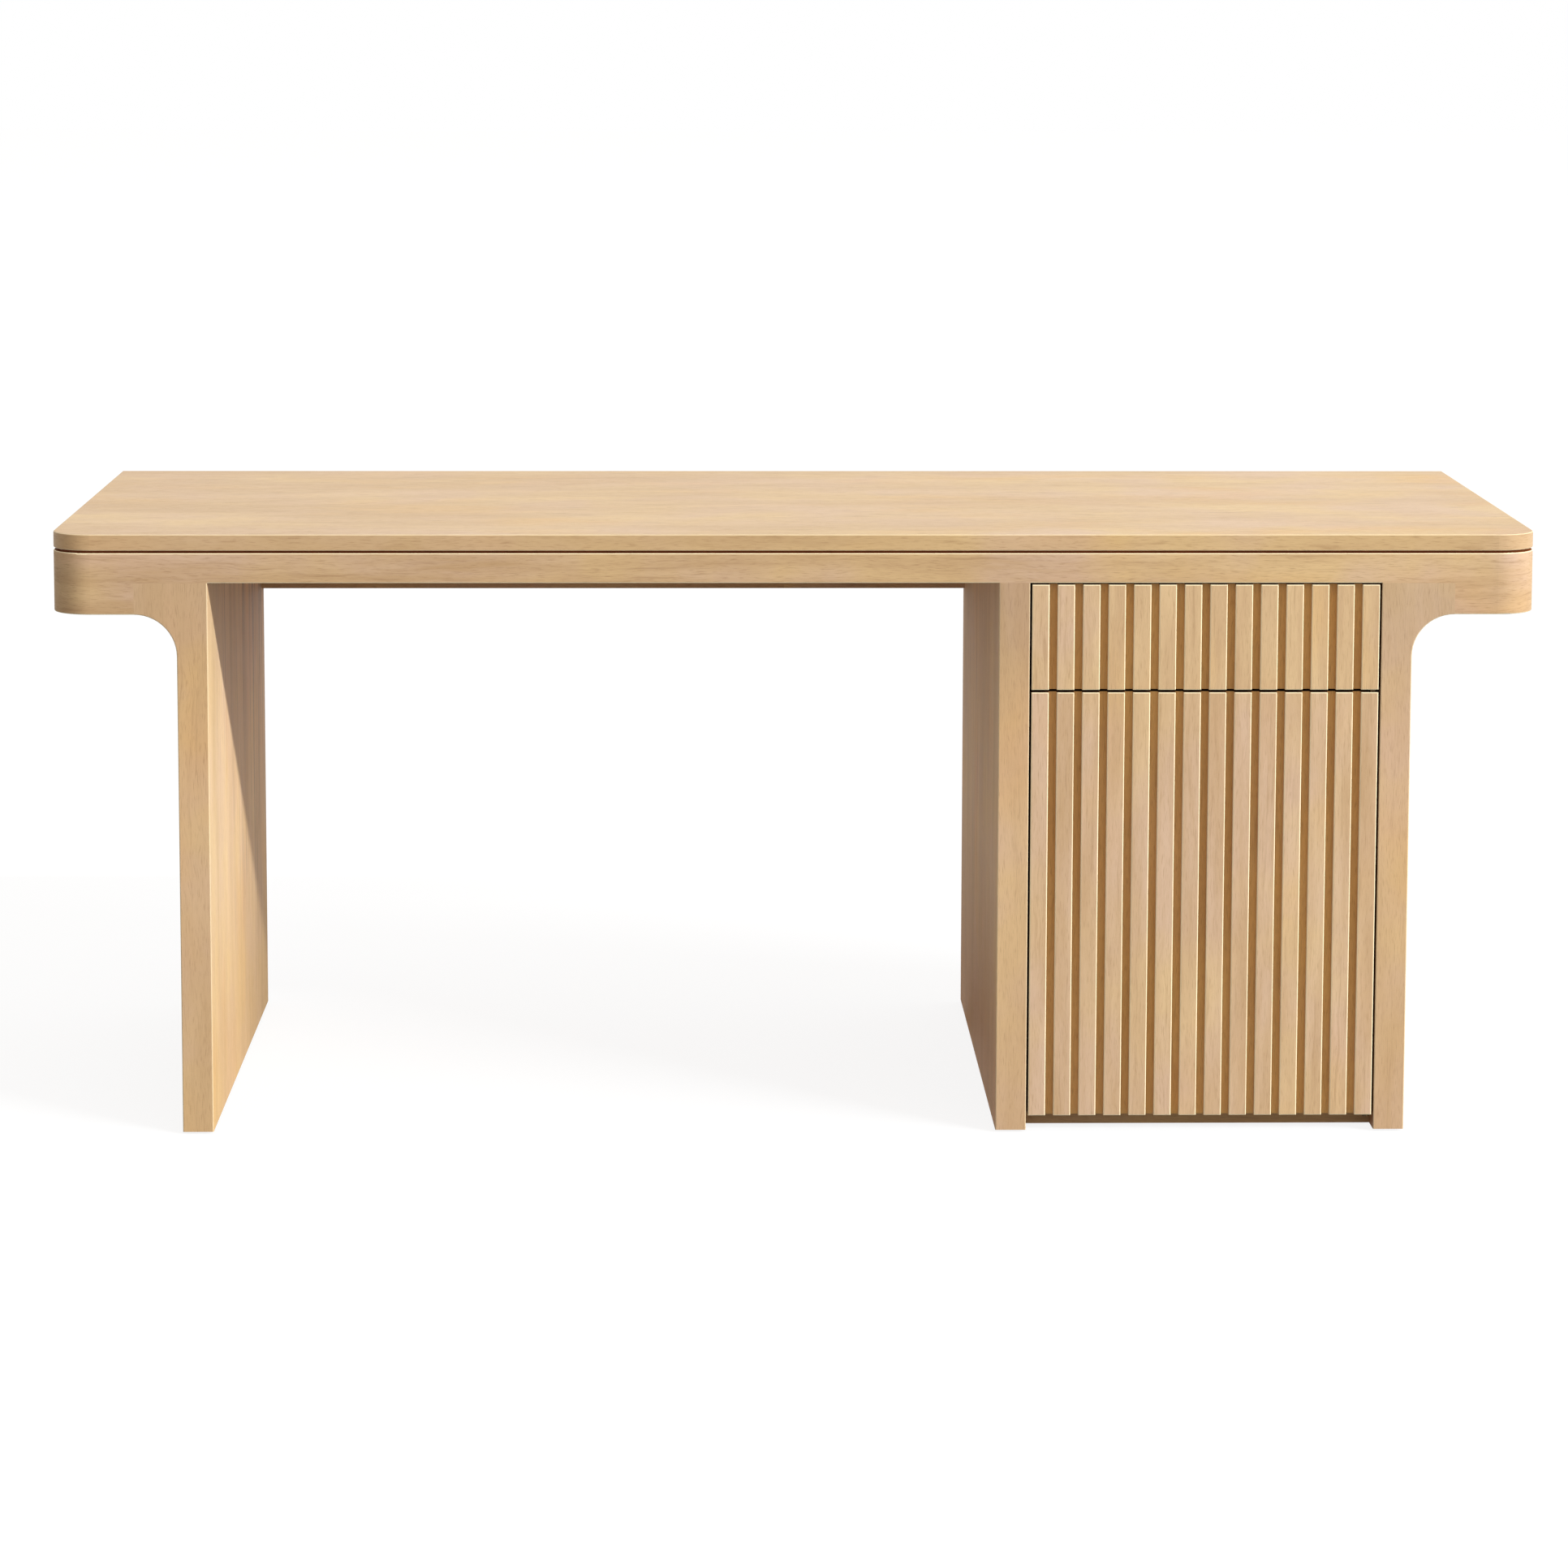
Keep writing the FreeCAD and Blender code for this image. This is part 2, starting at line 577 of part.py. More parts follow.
def fixed_leaf(foot, pin_up):
    """A carcase leaf with its pin, which points into the door."""
    body = new_body("fixed_leaf")
    plate = new_sketch(body, "XY_Plane")
    draw_leaf(plate, ("0", "0"), f"({PANELS_FRONT} - {PIVOT_BACK} + sizes.kerf_depth)", "0")
    pad(body, plate, LEAF_THICKNESS)
    pin = new_sketch(body, "XY_Plane")
    draw_circle(pin, ("0", "0"), "sizes.hinge_pin_radius")
    reach = f"sizes.pivot_clearance + {LEAF_THICKNESS} - sizes.hinge_pin_end_gap"
    pad(body, pin, f"{LEAF_THICKNESS} + {reach}" if pin_up else reach, reverse=not pin_up)
    place(body, (PIVOT_ACROSS, PIVOT_BACK, foot))
    return body


def door_leaf(foot):
    """A door leaf with the hole that the pin turns in."""
    body = new_body("door_leaf")
    plate = new_sketch(body, "XY_Plane")
    draw_leaf(plate, ("0", "0"), "sizes.leaf_reach", "0")
    draw_circle(plate, ("0", "0"), "sizes.hinge_pin_radius + sizes.hinge_pin_play")
    pad(body, plate, LEAF_THICKNESS)
    place(body, (PIVOT_ACROSS, PIVOT_BACK, foot))
    return body


fixed_hinge_leaves = doc.addObject("Part::Compound", "fixed_hinge_leaves")
fixed_hinge_leaves.Links = [fixed_leaf(UPPER_LEAF_FOOT, False), fixed_leaf(LOWER_LEAF_FOOT, True)]
door_hinge_leaves = doc.addObject("Part::Compound", "door_hinge_leaves")
door_hinge_leaves.Links = [door_leaf(f"{DOOR_HEAD} - {LEAF_THICKNESS}"), door_leaf(DOOR_FOOT)]


def cut_kerf(body, leaf_foot, body_foot):
    """Cuts the slot in a panel's front edge that a fixed leaf runs into."""
    sketch = new_sketch(body, "XZ_Plane")
    half = "(sizes.leaf_width / 2 + sizes.leaf_play)"
    middle = f"({PIVOT_ACROSS} - {PEDESTAL_LEFT})"
    low = f"{leaf_foot} - {body_foot}"
    high = f"{low} + {LEAF_THICKNESS}"
    draw_rectangle(sketch, (f"{middle} - {half}", low), (f"{middle} + {half}", high))
    pocket(body, sketch, "sizes.kerf_depth + sizes.leaf_play")


cut_kerf(drawer_divider, UPPER_LEAF_FOOT, DIVIDER_FOOT)
cut_kerf(pedestal_bottom, LOWER_LEAF_FOOT, FOOT)


def cut_mortises(body, left, front):
    """Cuts the two shallow mortises in the ends of a door piece that its leaves lie in."""
    middle = (f"{PIVOT_ACROSS} - {left}", f"{PIVOT_BACK} - {front}")
    for lift, upwards in (("0", True), (DOOR_HEIGHT, False)):
        sketch = new_sketch(body, "XY_Plane", lift)
        draw_leaf(sketch, middle, "sizes.leaf_reach", "sizes.leaf_play")
        pocket(body, sketch, LEAF_THICKNESS, reverse=upwards)


def slat(label, index, foot, height):
    """One upright slat with its four front edges eased."""
    left = f"({FRONTS_LEFT} + {index} * {SLAT_PITCH})"
    body = board(label, (left, FRONT, foot), ("sizes.slat_width", "sizes.slat_thickness", height))
    round_edges(body, "sizes.edge_ease", lambda a, b: near(a.y, 0) and near(b.y, 0))
    return body, left


# The two slatted fronts.
drawer_front_board = board(
    "drawer_front_board",
    (FRONTS_LEFT, SLATS_BACK, DRAWER_FOOT),
    (FRONTS_WIDTH, "sizes.front_board_thickness", "sizes.drawer_front_height"),
)
door_board = board(
    "door_board",
    (FRONTS_LEFT, SLATS_BACK, DOOR_FOOT),
    (FRONTS_WIDTH, "sizes.front_board_thickness", DOOR_HEIGHT),
)
cut_mortises(door_board, FRONTS_LEFT, SLATS_BACK)
drawer_slats = []
door_slats = []
slat_count = int(number("sizes.slat_count"))
for index in range(slat_count):
    name = f"{index + 1:02d}"
    piece, _ = slat(f"drawer_slat_{name}", index, DRAWER_FOOT, "sizes.drawer_front_height")
    drawer_slats.append(piece)
    piece, piece_left = slat(f"door_slat_{name}", index, DOOR_FOOT, DOOR_HEIGHT)
    door_slats.append(piece)
cut_mortises(door_slats[-1], piece_left, FRONT)

# The drawer box: its bottom slides under the back and sits in grooves on three sides.
BOX_BACK = f"({FRONTS_BACK} + sizes.box_length)"
BOX_INNER_WIDTH = f"({BOX_RIGHT} - {BOX_LEFT} - 2 * sizes.box_wall)"
BOX_FLOOR = f"({BOX_FOOT} + sizes.groove_lift + sizes.box_bottom_thickness)"
GROOVE_HEIGHT = "(sizes.box_bottom_thickness + sizes.groove_play)"
BOTTOM_TONGUE = "(sizes.groove_depth - sizes.groove_play)"


def box_side(label, left, groove_on_right):
    """One side of the drawer box with its groove."""
    body = board(
        label,
        (left, FRONTS_BACK, BOX_FOOT),
        ("sizes.box_wall", "sizes.box_length", "sizes.box_height"),
    )
    low = "sizes.box_wall - sizes.groove_depth" if groove_on_right else "0"
    high = "sizes.box_wall" if groove_on_right else "sizes.groove_depth"
    sketch = new_sketch(body, "XZ_Plane")
    draw_rectangle(sketch, (low, "sizes.groove_lift"), (high, f"sizes.groove_lift + {GROOVE_HEIGHT}"))
    pocket(body, sketch, "sizes.box_length")
    return body


drawer_side_left = box_side("drawer_side_left", BOX_LEFT, True)
drawer_side_right = box_side("drawer_side_right", f"{BOX_RIGHT} - sizes.box_wall", False)
drawer_box_front = board(
    "drawer_box_front",
    (f"{BOX_LEFT} + sizes.box_wall", FRONTS_BACK, BOX_FOOT),
    (BOX_INNER_WIDTH, "sizes.box_wall", "sizes.box_height"),
)
front_groove = new_sketch(drawer_box_front, "YZ_Plane")
draw_rectangle(
    front_groove,
    ("sizes.box_wall - sizes.groove_depth", "sizes.groove_lift"),
    ("sizes.box_wall", f"sizes.groove_lift + {GROOVE_HEIGHT}"),
)
pocket(drawer_box_front, front_groove)
drawer_back = board(
    "drawer_back",
    (f"{BOX_LEFT} + sizes.box_wall", f"{BOX_BACK} - sizes.box_wall", BOX_FLOOR),
    (BOX_INNER_WIDTH, "sizes.box_wall", f"{BOX_FOOT} + sizes.box_height - {BOX_FLOOR}"),
)
drawer_bottom = board(
    "drawer_bottom",
    (
        f"{BOX_LEFT} + sizes.box_wall - {BOTTOM_TONGUE}",
        f"{FRONTS_BACK} + sizes.box_wall - {BOTTOM_TONGUE}",
        f"{BOX_FOOT} + sizes.groove_lift",
    ),
    (
        f"{BOX_INNER_WIDTH} + 2 * {BOTTOM_TONGUE}",
        f"sizes.box_length - sizes.box_wall + {BOTTOM_TONGUE}",
        "sizes.box_bottom_thickness",
    ),
)


def slide_member(label, on_left, web, lip, half_height):
    """A folded channel: its web and lips are measured from the pedestal wall it hangs on."""
    body = new_body(label)
    sketch = new_sketch(body, "XZ_Plane")
    side = "" if on_left else "-"
    near_web, far_web = web
    inside = f"({half_height} - sizes.slide_sheet)"
    points = [
        (f"{side}({near_web})", f"-{half_height}"),
        (f"{side}({lip})", f"-{half_height}"),
        (f"{side}({lip})", f"-{inside}"),
        (f"{side}({far_web})", f"-{inside}"),
        (f"{side}({far_web})", inside),
        (f"{side}({lip})", inside),
        (f"{side}({lip})", half_height),
        (f"{side}({near_web})", half_height),
    ]
    draw_outline(sketch, points)
    pad(body, sketch, "sizes.slide_length", reverse=True)
    wall = PEDESTAL_LEFT if on_left else LEG_INNER
    place(body, (wall, f"{PANELS_FRONT} + sizes.slide_setback", SLIDE_MIDDLE))
    return body


# Telescopic slides: an outer, a middle and an inner channel nest on each side.
OUTER_HALF = "(sizes.slide_height / 2)"
MIDDLE_HALF = f"({OUTER_HALF} - sizes.slide_sheet - sizes.slide_play)"
INNER_HALF = f"({MIDDLE_HALF} - sizes.slide_sheet - sizes.slide_play)"
MIDDLE_WEB = "(sizes.slide_sheet + sizes.slide_web_gap)"
MIDDLE_WEB_FAR = f"({MIDDLE_WEB} + sizes.slide_sheet)"
INNER_WEB = "(sizes.slide_width - sizes.slide_sheet)"
LIP_END = f"({INNER_WEB} - sizes.slide_lip_gap)"
slides = {"outer": [], "middle": [], "inner": []}
for side_name, on_left in (("left", True), ("right", False)):
    slides["outer"].append(
        slide_member(
            f"slide_outer_{side_name}", on_left, ("0", "sizes.slide_sheet"), LIP_END, OUTER_HALF
        )
    )
    slides["middle"].append(
        slide_member(
            f"slide_middle_{side_name}", on_left, (MIDDLE_WEB, MIDDLE_WEB_FAR), LIP_END, MIDDLE_HALF
        )
    )
    slides["inner"].append(
        slide_member(
            f"slide_inner_{side_name}",
            on_left,
            ("sizes.slide_width", INNER_WEB),
            f"{MIDDLE_WEB_FAR} + sizes.slide_lip_gap",
            INNER_HALF,
        )
    )

# The touch latch hangs under the divider, near the free edge of the door.
LATCH_ACROSS = f"({FRONTS_LEFT} + sizes.latch_inset)"
PLUNGER_LEVEL = f"({DIVIDER_FOOT} - sizes.latch_height / 2)"
PLUNGER_TIP = f"({FRONTS_BACK} + sizes.plunger_tip_gap)"
touch_latch_body = new_body("touch_latch_body")
latch_sketch = new_sketch(touch_latch_body, "XZ_Plane")
latch_half = "(sizes.latch_width / 2)"
ear_half = f"({latch_half} + sizes.latch_ear_width)"
draw_rectangle(latch_sketch, (f"-{latch_half}", "-sizes.latch_height"), (latch_half, "0"))
pad(touch_latch_body, latch_sketch, "sizes.latch_length", reverse=True)
ear_sketch = new_sketch(touch_latch_body, "XZ_Plane")
draw_rectangle(ear_sketch, (f"-{ear_half}", "-sizes.latch_ear_thickness"), (ear_half, "0"))
pad(touch_latch_body, ear_sketch, "sizes.latch_ear_length", reverse=True)
screw_sketch = new_sketch(touch_latch_body, "XY_Plane")
screw_across = f"({latch_half} + sizes.latch_ear_width / 2)"
draw_circle(screw_sketch, (f"-{screw_across}", "sizes.latch_ear_length / 2"), "sizes.latch_screw_radius")
draw_circle(screw_sketch, (screw_across, "sizes.latch_ear_length / 2"), "sizes.latch_screw_radius")
pocket(touch_latch_body, screw_sketch, "sizes.latch_ear_thickness")
bore_sketch = new_sketch(touch_latch_body, "XZ_Plane")
draw_circle(bore_sketch, ("0", "-sizes.latch_height / 2"), "sizes.plunger_radius + sizes.plunger_play")
bore_depth = f"{PLUNGER_TIP} + sizes.plunger_length + sizes.bore_spare - {PANELS_FRONT}"
pocket(touch_latch_body, bore_sketch, bore_depth)
place(touch_latch_body, (LATCH_ACROSS, PANELS_FRONT, DIVIDER_FOOT))

touch_latch_plunger = new_body("touch_latch_plunger")
plunger_sketch = new_sketch(touch_latch_plunger, "XZ_Plane")
draw_circle(plunger_sketch, ("0", "0"), "sizes.plunger_radius")
pad(touch_latch_plunger, plunger_sketch, "sizes.plunger_length", reverse=True)
plunger_rod = touch_latch_plunger.Tip
tip_edge = next(
    index
    for index, edge in enumerate(plunger_rod.Shape.Edges, 1)
    if near(edge.BoundBox.YMax, 0) and near(edge.BoundBox.YMin, 0)
)
tip = touch_latch_plunger.newObject("PartDesign::Chamfer", "plunger_tip")
tip.Base = (plunger_rod, [f"Edge{tip_edge}"])
tip.setExpression("Size", "sizes.plunger_bevel")
place(touch_latch_plunger, (LATCH_ACROSS, PLUNGER_TIP, PLUNGER_LEVEL))

doc.recompute()

SUB_PARTS = [
    top_panel,
    shadow_gap_board,
    front_apron,
    back_apron,
    left_end_box,
    right_end_box,
    left_leg,
    right_leg,
    pedestal_inner_side,
    pedestal_back,
    pedestal_bottom,
    drawer_divider,
    cabinet_shelf,
    shelf_pins,
    floor_glides,
    fixed_hinge_leaves,
    *slides["outer"],
    touch_latch_body,
    drawer_front_board,
    drawer_box_front,
    drawer_side_left,
    drawer_side_right,
    drawer_back,
    drawer_bottom,
    *slides["inner"],
    *drawer_slats,
    *slides["middle"],
    door_board,
    door_hinge_leaves,
    *door_slats,
    touch_latch_plunger,
]

# Every object has to be sound before anything is written.
for item in doc.Objects:
    if "Invalid" in item.State or "Error" in item.State:
        raise RuntimeError(f"{item.Label} did not build: {item.State}")
for item in SUB_PARTS:
    if item.Shape.isNull() or not item.Shape.isValid():
        raise RuntimeError(f"{item.Label} has no valid shape")

os.makedirs("parts", exist_ok=True)
for item in SUB_PARTS:
    item.Shape.exportStep(f"parts/{item.Label}.step")
print(f"{len(SUB_PARTS)} sub-parts written")
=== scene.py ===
# %% [markdown]
# A slatted oak desk
#
# This lesson dresses a pedestal desk in lacquered oak. Its boards, slats, drawer, door and fittings
# come as finished solids from a CAD model, already in their places, so nothing here moves or reshapes
# them. What is left for Blender is what the eye reads first: the wood and the metal, the small
# fasteners, the light and the camera.

# %% Load the desk as a fixed frame
import math

import bmesh
import bpy
from mathutils import Euler, Matrix, Vector


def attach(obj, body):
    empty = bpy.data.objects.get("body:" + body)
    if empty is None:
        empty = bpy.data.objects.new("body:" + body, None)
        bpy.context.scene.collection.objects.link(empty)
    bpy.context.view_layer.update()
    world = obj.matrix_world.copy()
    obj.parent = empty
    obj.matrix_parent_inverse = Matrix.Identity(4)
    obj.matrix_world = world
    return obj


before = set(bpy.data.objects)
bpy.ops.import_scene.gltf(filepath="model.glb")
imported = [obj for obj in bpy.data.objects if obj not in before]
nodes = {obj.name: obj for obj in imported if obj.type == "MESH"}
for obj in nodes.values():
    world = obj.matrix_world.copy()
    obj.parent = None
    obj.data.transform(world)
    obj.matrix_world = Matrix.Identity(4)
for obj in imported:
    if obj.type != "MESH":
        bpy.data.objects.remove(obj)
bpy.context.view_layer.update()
print("boards and fittings:", len(nodes))

# %% [markdown]
# Colours and nodes
#
# Colours are picked as sRGB hex values, as on a paint card, but a shader works with linear light, so one
# function turns the first into the second. A second small function adds a node, sets it up and wires it
# in one call, which keeps each finish short enough to read as a recipe. Most finishes also ask where on the
# desk a spot is, so that has a name too.

# %% Helpers that every finish uses
MM = 0.001


def linear(paint):
    """An sRGB hex colour, such as d9b88a, as the linear RGBA that shaders take."""
    parts = [int(paint[start:start + 2], 16) / 255 for start in (0, 2, 4)]
    light = [part / 12.92 if part <= 0.04045 else ((part + 0.055) / 1.055) ** 2.4 for part in parts]
    return (*light, 1.0)


def add(tree, kind, inputs=None, **settings):
    """Adds a node with its settings; each input is a value, or another node's output to link."""
    node = tree.nodes.new("ShaderNode" + kind)
    for name, value in settings.items():
        setattr(node, name, value)
    for name, value in (inputs or {}).items():
        if isinstance(value, bpy.types.NodeSocket):
            tree.links.new(value, node.inputs[name])
        else:
            node.inputs[name].default_value = value
    return node


def new_finish(name, **surface):
    """A new material: its node tree and its shader, with the surface's constant values set."""
    material = bpy.data.materials.new(name)
    material.use_nodes = True
    shader = material.node_tree.nodes["Principled BSDF"]
    for socket, value in surface.items():
        shader.inputs[socket.replace("_", " ")].default_value = value
    return material, material.node_tree, shader


def spot_of(tree):
    """Where a spot lies on the desk: its X, Y and Z, in metres from the middle of the floor under it."""
    return add(tree, "SeparateXYZ", {0: add(tree, "TexCoord").outputs["Object"]}).outputs


print("oak paint card d9b88a is linear", [round(part, 3) for part in linear("d9b88a")[:3]])

# %% [markdown]
# Which way the grain runs
#
# On the real desk the veneer runs lengthwise on the top, the aprons and the end boxes, and its edge band
# follows the rim round the corners. On the legs, the pedestal and the slats it runs upright, and bends out
# with the cove. A plain stretched noise would turn to specks wherever a face turns away from the grain, so
# each board gets its own grain coordinates: first along the fibres, then across them. The face's normal
# says which of two rules holds there, broad face or edge. Where the normal is half way between the two,
# the spot lies on an eased edge, which is worth knowing, because a pale painted highlight goes there.

# %% Grain coordinates
FRONT = -380 * MM
# A normal within 60 degrees of the board's own counts as its broad face, and 45 degrees is half way.
FACE_LEAN = 0.5
HALF_WAY = 0.5


def grain_frame(tree, runs):
    """Grain coordinates in metres, a mask of the broad faces, and how eased an edge is (to 0.5).

    The coordinates run along the fibres, across them, and from one sheet to the next.
    """
    place = add(tree, "TexCoord").outputs
    spot = spot_of(tree)
    facing = add(tree, "SeparateXYZ", {0: place["Normal"]}).outputs
    if runs == "up":
        turned = facing["Y"]
        broad = add(tree, "CombineXYZ", {0: spot["Z"], 1: spot["X"], 2: spot["Y"]}).outputs[0]
        reach = add(tree, "Math", {0: spot["X"]}, operation="ABSOLUTE").outputs[0]
        path = add(tree, "Math", {0: spot["Z"], 1: reach}, operation="ADD").outputs[0]
        edge = add(tree, "CombineXYZ", {0: path, 1: spot["Y"], 2: spot["X"]}).outputs[0]
    else:
        turned = facing["Z"]
        broad = place["Object"]
        side = add(tree, "Math", {0: spot["X"]}, operation="SIGN").outputs[0]
        depth = add(tree, "Math", {0: spot["Y"], 1: FRONT}, operation="SUBTRACT").outputs[0]
        path = add(tree, "Math", {0: side, 1: depth, 2: spot["X"]}, operation="MULTIPLY_ADD").outputs[0]
        edge = add(tree, "CombineXYZ", {0: path, 1: spot["Z"], 2: spot["Y"]}).outputs[0]
    lean = add(tree, "Math", {0: turned}, operation="ABSOLUTE").outputs[0]
    on_face = add(tree, "Math", {0: lean, 1: FACE_LEAN}, operation="GREATER_THAN").outputs[0]
    grain = add(tree, "Mix", {0: on_face, 4: edge, 5: broad}, data_type="VECTOR").outputs[1]
    square = add(tree, "Math", {0: lean, 1: lean}, operation="MULTIPLY").outputs[0]
    eased = add(tree, "Math", {0: square, 1: HALF_WAY}, operation="PINGPONG").outputs[0]
    return grain, on_face, eased


print("the rim's grain starts at the front edge, y =", FRONT)

# %% [markdown]
# Fibres
#
# Every mark in oak is pulled out along its fibres, which are never quite straight: they drift over a hand's
# breadth and ripple over a thumb's. Turning the texture itself would bend all boards alike. Here a slow
# noise and a quick one push the grain coordinates sideways, so each later mark follows the same wandering
# fibres.

# %% Noise along wandering fibres
# Lengths and widths of the marks, and how far they push the fibres, in millimetres.
SHEET = 300
DRIFT = (420, 90)
DRIFT_REACH = 12
RIPPLE = (60, 18)
RIPPLE_REACH = 7


def streaks(tree, grain, length, width, **look):
    """Noise pulled out along the fibres, each blot about length by width millimetres."""
    steps = (1 / (length * MM), 1 / (width * MM), 1 / (SHEET * MM))
    pulled = add(tree, "VectorMath", {0: grain, 1: steps}, operation="MULTIPLY").outputs[0]
    return add(tree, "TexNoise", {"Vector": pulled, "Scale": 1.0, **look}).outputs["Fac"]


def wandering(tree, grain):
    """Grain coordinates pushed sideways by the drift and the ripple of the fibres."""
    drift = streaks(tree, grain, *DRIFT, Detail=2.0)
    shift = add(tree, "MapRange", {0: drift, 3: -DRIFT_REACH * MM, 4: DRIFT_REACH * MM}).outputs[0]
    ripple = streaks(tree, grain, *RIPPLE, Detail=1.0)
    reach = {0: ripple, 1: RIPPLE_REACH * MM, 2: shift}
    sway = add(tree, "Math", reach, operation="MULTIPLY_ADD").outputs[0]
    aside = add(tree, "CombineXYZ", {1: sway}).outputs[0]
    return add(tree, "VectorMath", {0: grain, 1: aside}, operation="ADD").outputs[0]


print("fibres drift", DRIFT_REACH, "mm and ripple", RIPPLE_REACH, "mm")

# %% [markdown]
# Heartwood veins and painted shade
#
# The side faces of the uprights were cut near the heart of the tree and carry a few long purple brown
# veins. They could be painted on one by one, but a stretched noise with only its peaks kept gives veins that
# start, swell and fade as real ones do. They show most near the head and the back, and most of all on the
# left leg's inner face, which is also where the top's shade falls, so there the faces get a painted shade
# too: a warmer, darker cast.

# %% Heartwood veins and painted shade
LEFT_LEG_INNER = -722 * MM
LEFT_LEG_REACH = 5 * MM
PAINTED_SHADE_CAST = "fff0e6"
VEIN_AND_SHADE_RISE = (100 * MM, 500 * MM)
VEIN_AND_SHADE_DEPTH = (-300 * MM, 100 * MM)
VEIN_AND_SHADE_LEAST = 0.1
OTHER_FACES = 0.4
VEIN = (700, 24)
VEIN_PEAKS = (0.5, 0.68)
VEIN_DARKNESS = 0.85


def veins_and_painted_shade(tree, tone, wavy, on_face, heart):
    """Paints a warmer, darker cast as shade on an upright's side faces and draws veins of the heart's colour
    in them.
    """
    spot = spot_of(tree)
    climb = {0: spot["Z"], 1: VEIN_AND_SHADE_RISE[0], 2: VEIN_AND_SHADE_RISE[1], 3: VEIN_AND_SHADE_LEAST}
    rise = add(tree, "MapRange", climb).outputs[0]
    inward = {0: spot["Y"], 1: VEIN_AND_SHADE_DEPTH[0], 2: VEIN_AND_SHADE_DEPTH[1], 3: VEIN_AND_SHADE_LEAST}
    depth = add(tree, "MapRange", inward).outputs[0]
    near = {0: spot["X"], 1: LEFT_LEG_INNER, 2: LEFT_LEG_REACH}
    inner = add(tree, "Math", near, operation="COMPARE").outputs[0]
    strength = add(tree, "MapRange", {0: inner, 3: OTHER_FACES, 4: 1.0}).outputs[0]
    fading = add(tree, "Math", {0: rise, 1: depth}, operation="MULTIPLY").outputs[0]
    fading = add(tree, "Math", {0: fading, 1: strength}, operation="MULTIPLY").outputs[0]
    vein_and_shade_reach = add(tree, "Mix", {0: on_face, 2: fading, 3: 0.0}).outputs[0]
    # Painted shade: the side faces are cast warmer and darker over their upper back, where the top's shade
    # falls.
    cast = {0: vein_and_shade_reach, 6: tone, 7: linear(PAINTED_SHADE_CAST)}
    tone = add(tree, "Mix", cast, data_type="RGBA", blend_type="MULTIPLY").outputs[2]
    veins = streaks(tree, wavy, *VEIN, Detail=5.0, Roughness=0.68)
    peaks = {0: veins, 1: VEIN_PEAKS[0], 2: VEIN_PEAKS[1], 4: VEIN_DARKNESS}
    vein = add(tree, "MapRange", peaks).outputs[0]
    share = add(tree, "Math", {0: vein, 1: vein_and_shade_reach}, operation="MULTIPLY").outputs[0]
    return add(tree, "Mix", {0: share, 6: tone, 7: linear(heart)}, data_type="RGBA").outputs[2]


print("veins are about", VEIN[1], "mm wide")

# %% [markdown]
# Oak under matt lacquer
#
# Oak is ring porous: each year leaves a row of open pores that show as short brown dashes, between bands
# of plain paler wood. A clear matt lacquer seals it, with an index of refraction near 1.5. An image of a
# real plank would be quick, but it can't follow a rim or a cove, so the wood is built up in the order it
# grows: soft clouds between golden and pinkish wood, a few amber patches, bands of all widths, short year
# lines, then pores, which are also pressed a little into the surface. Real pores are about 0.3 mm wide, too
# fine to show from here, so they are drawn at 0.8 mm. Year lines lie 2 mm or so apart and are drawn 3 to
# 8 mm wide. The clouds are the only part that isn't pulled along the grain: the veneers were matched for
# colour where boards meet, so a cloud runs on from one board to the next. Last, every eased edge gets a
# painted highlight, a thin pale line that stands in for the light its rounded arris catches.

# %% Lacquered oak
# Sizes of the marks in millimetres.
CLOUD = 150
AMBER_PATCH = (260, 130)
PORE = (14, 0.8)
AMBER = "fff5e2"
# A painted highlight: the pale colour laid along every eased edge for the light its rounded arris catches.
EDGE_HIGHLIGHT_PAINT = "fff2c9"
LACQUER_IOR = 1.5
# Each mark starts at the first noise level of its pair and is full at the second.
PINKISH_LEVELS = (0.4, 0.62)
AMBER_LEVELS = (0.5, 0.68)
BAND_LEVELS = (0.38, 0.72)
YEAR_LEVELS = (0.58, 0.74)
PORE_LEVELS = (0.54, 0.72)
AMBER_MOST = 0.8
EASED_FULL = 0.3
PORE_ROUGHER = 0.12
PORE_DEPTH = 0.2 * MM


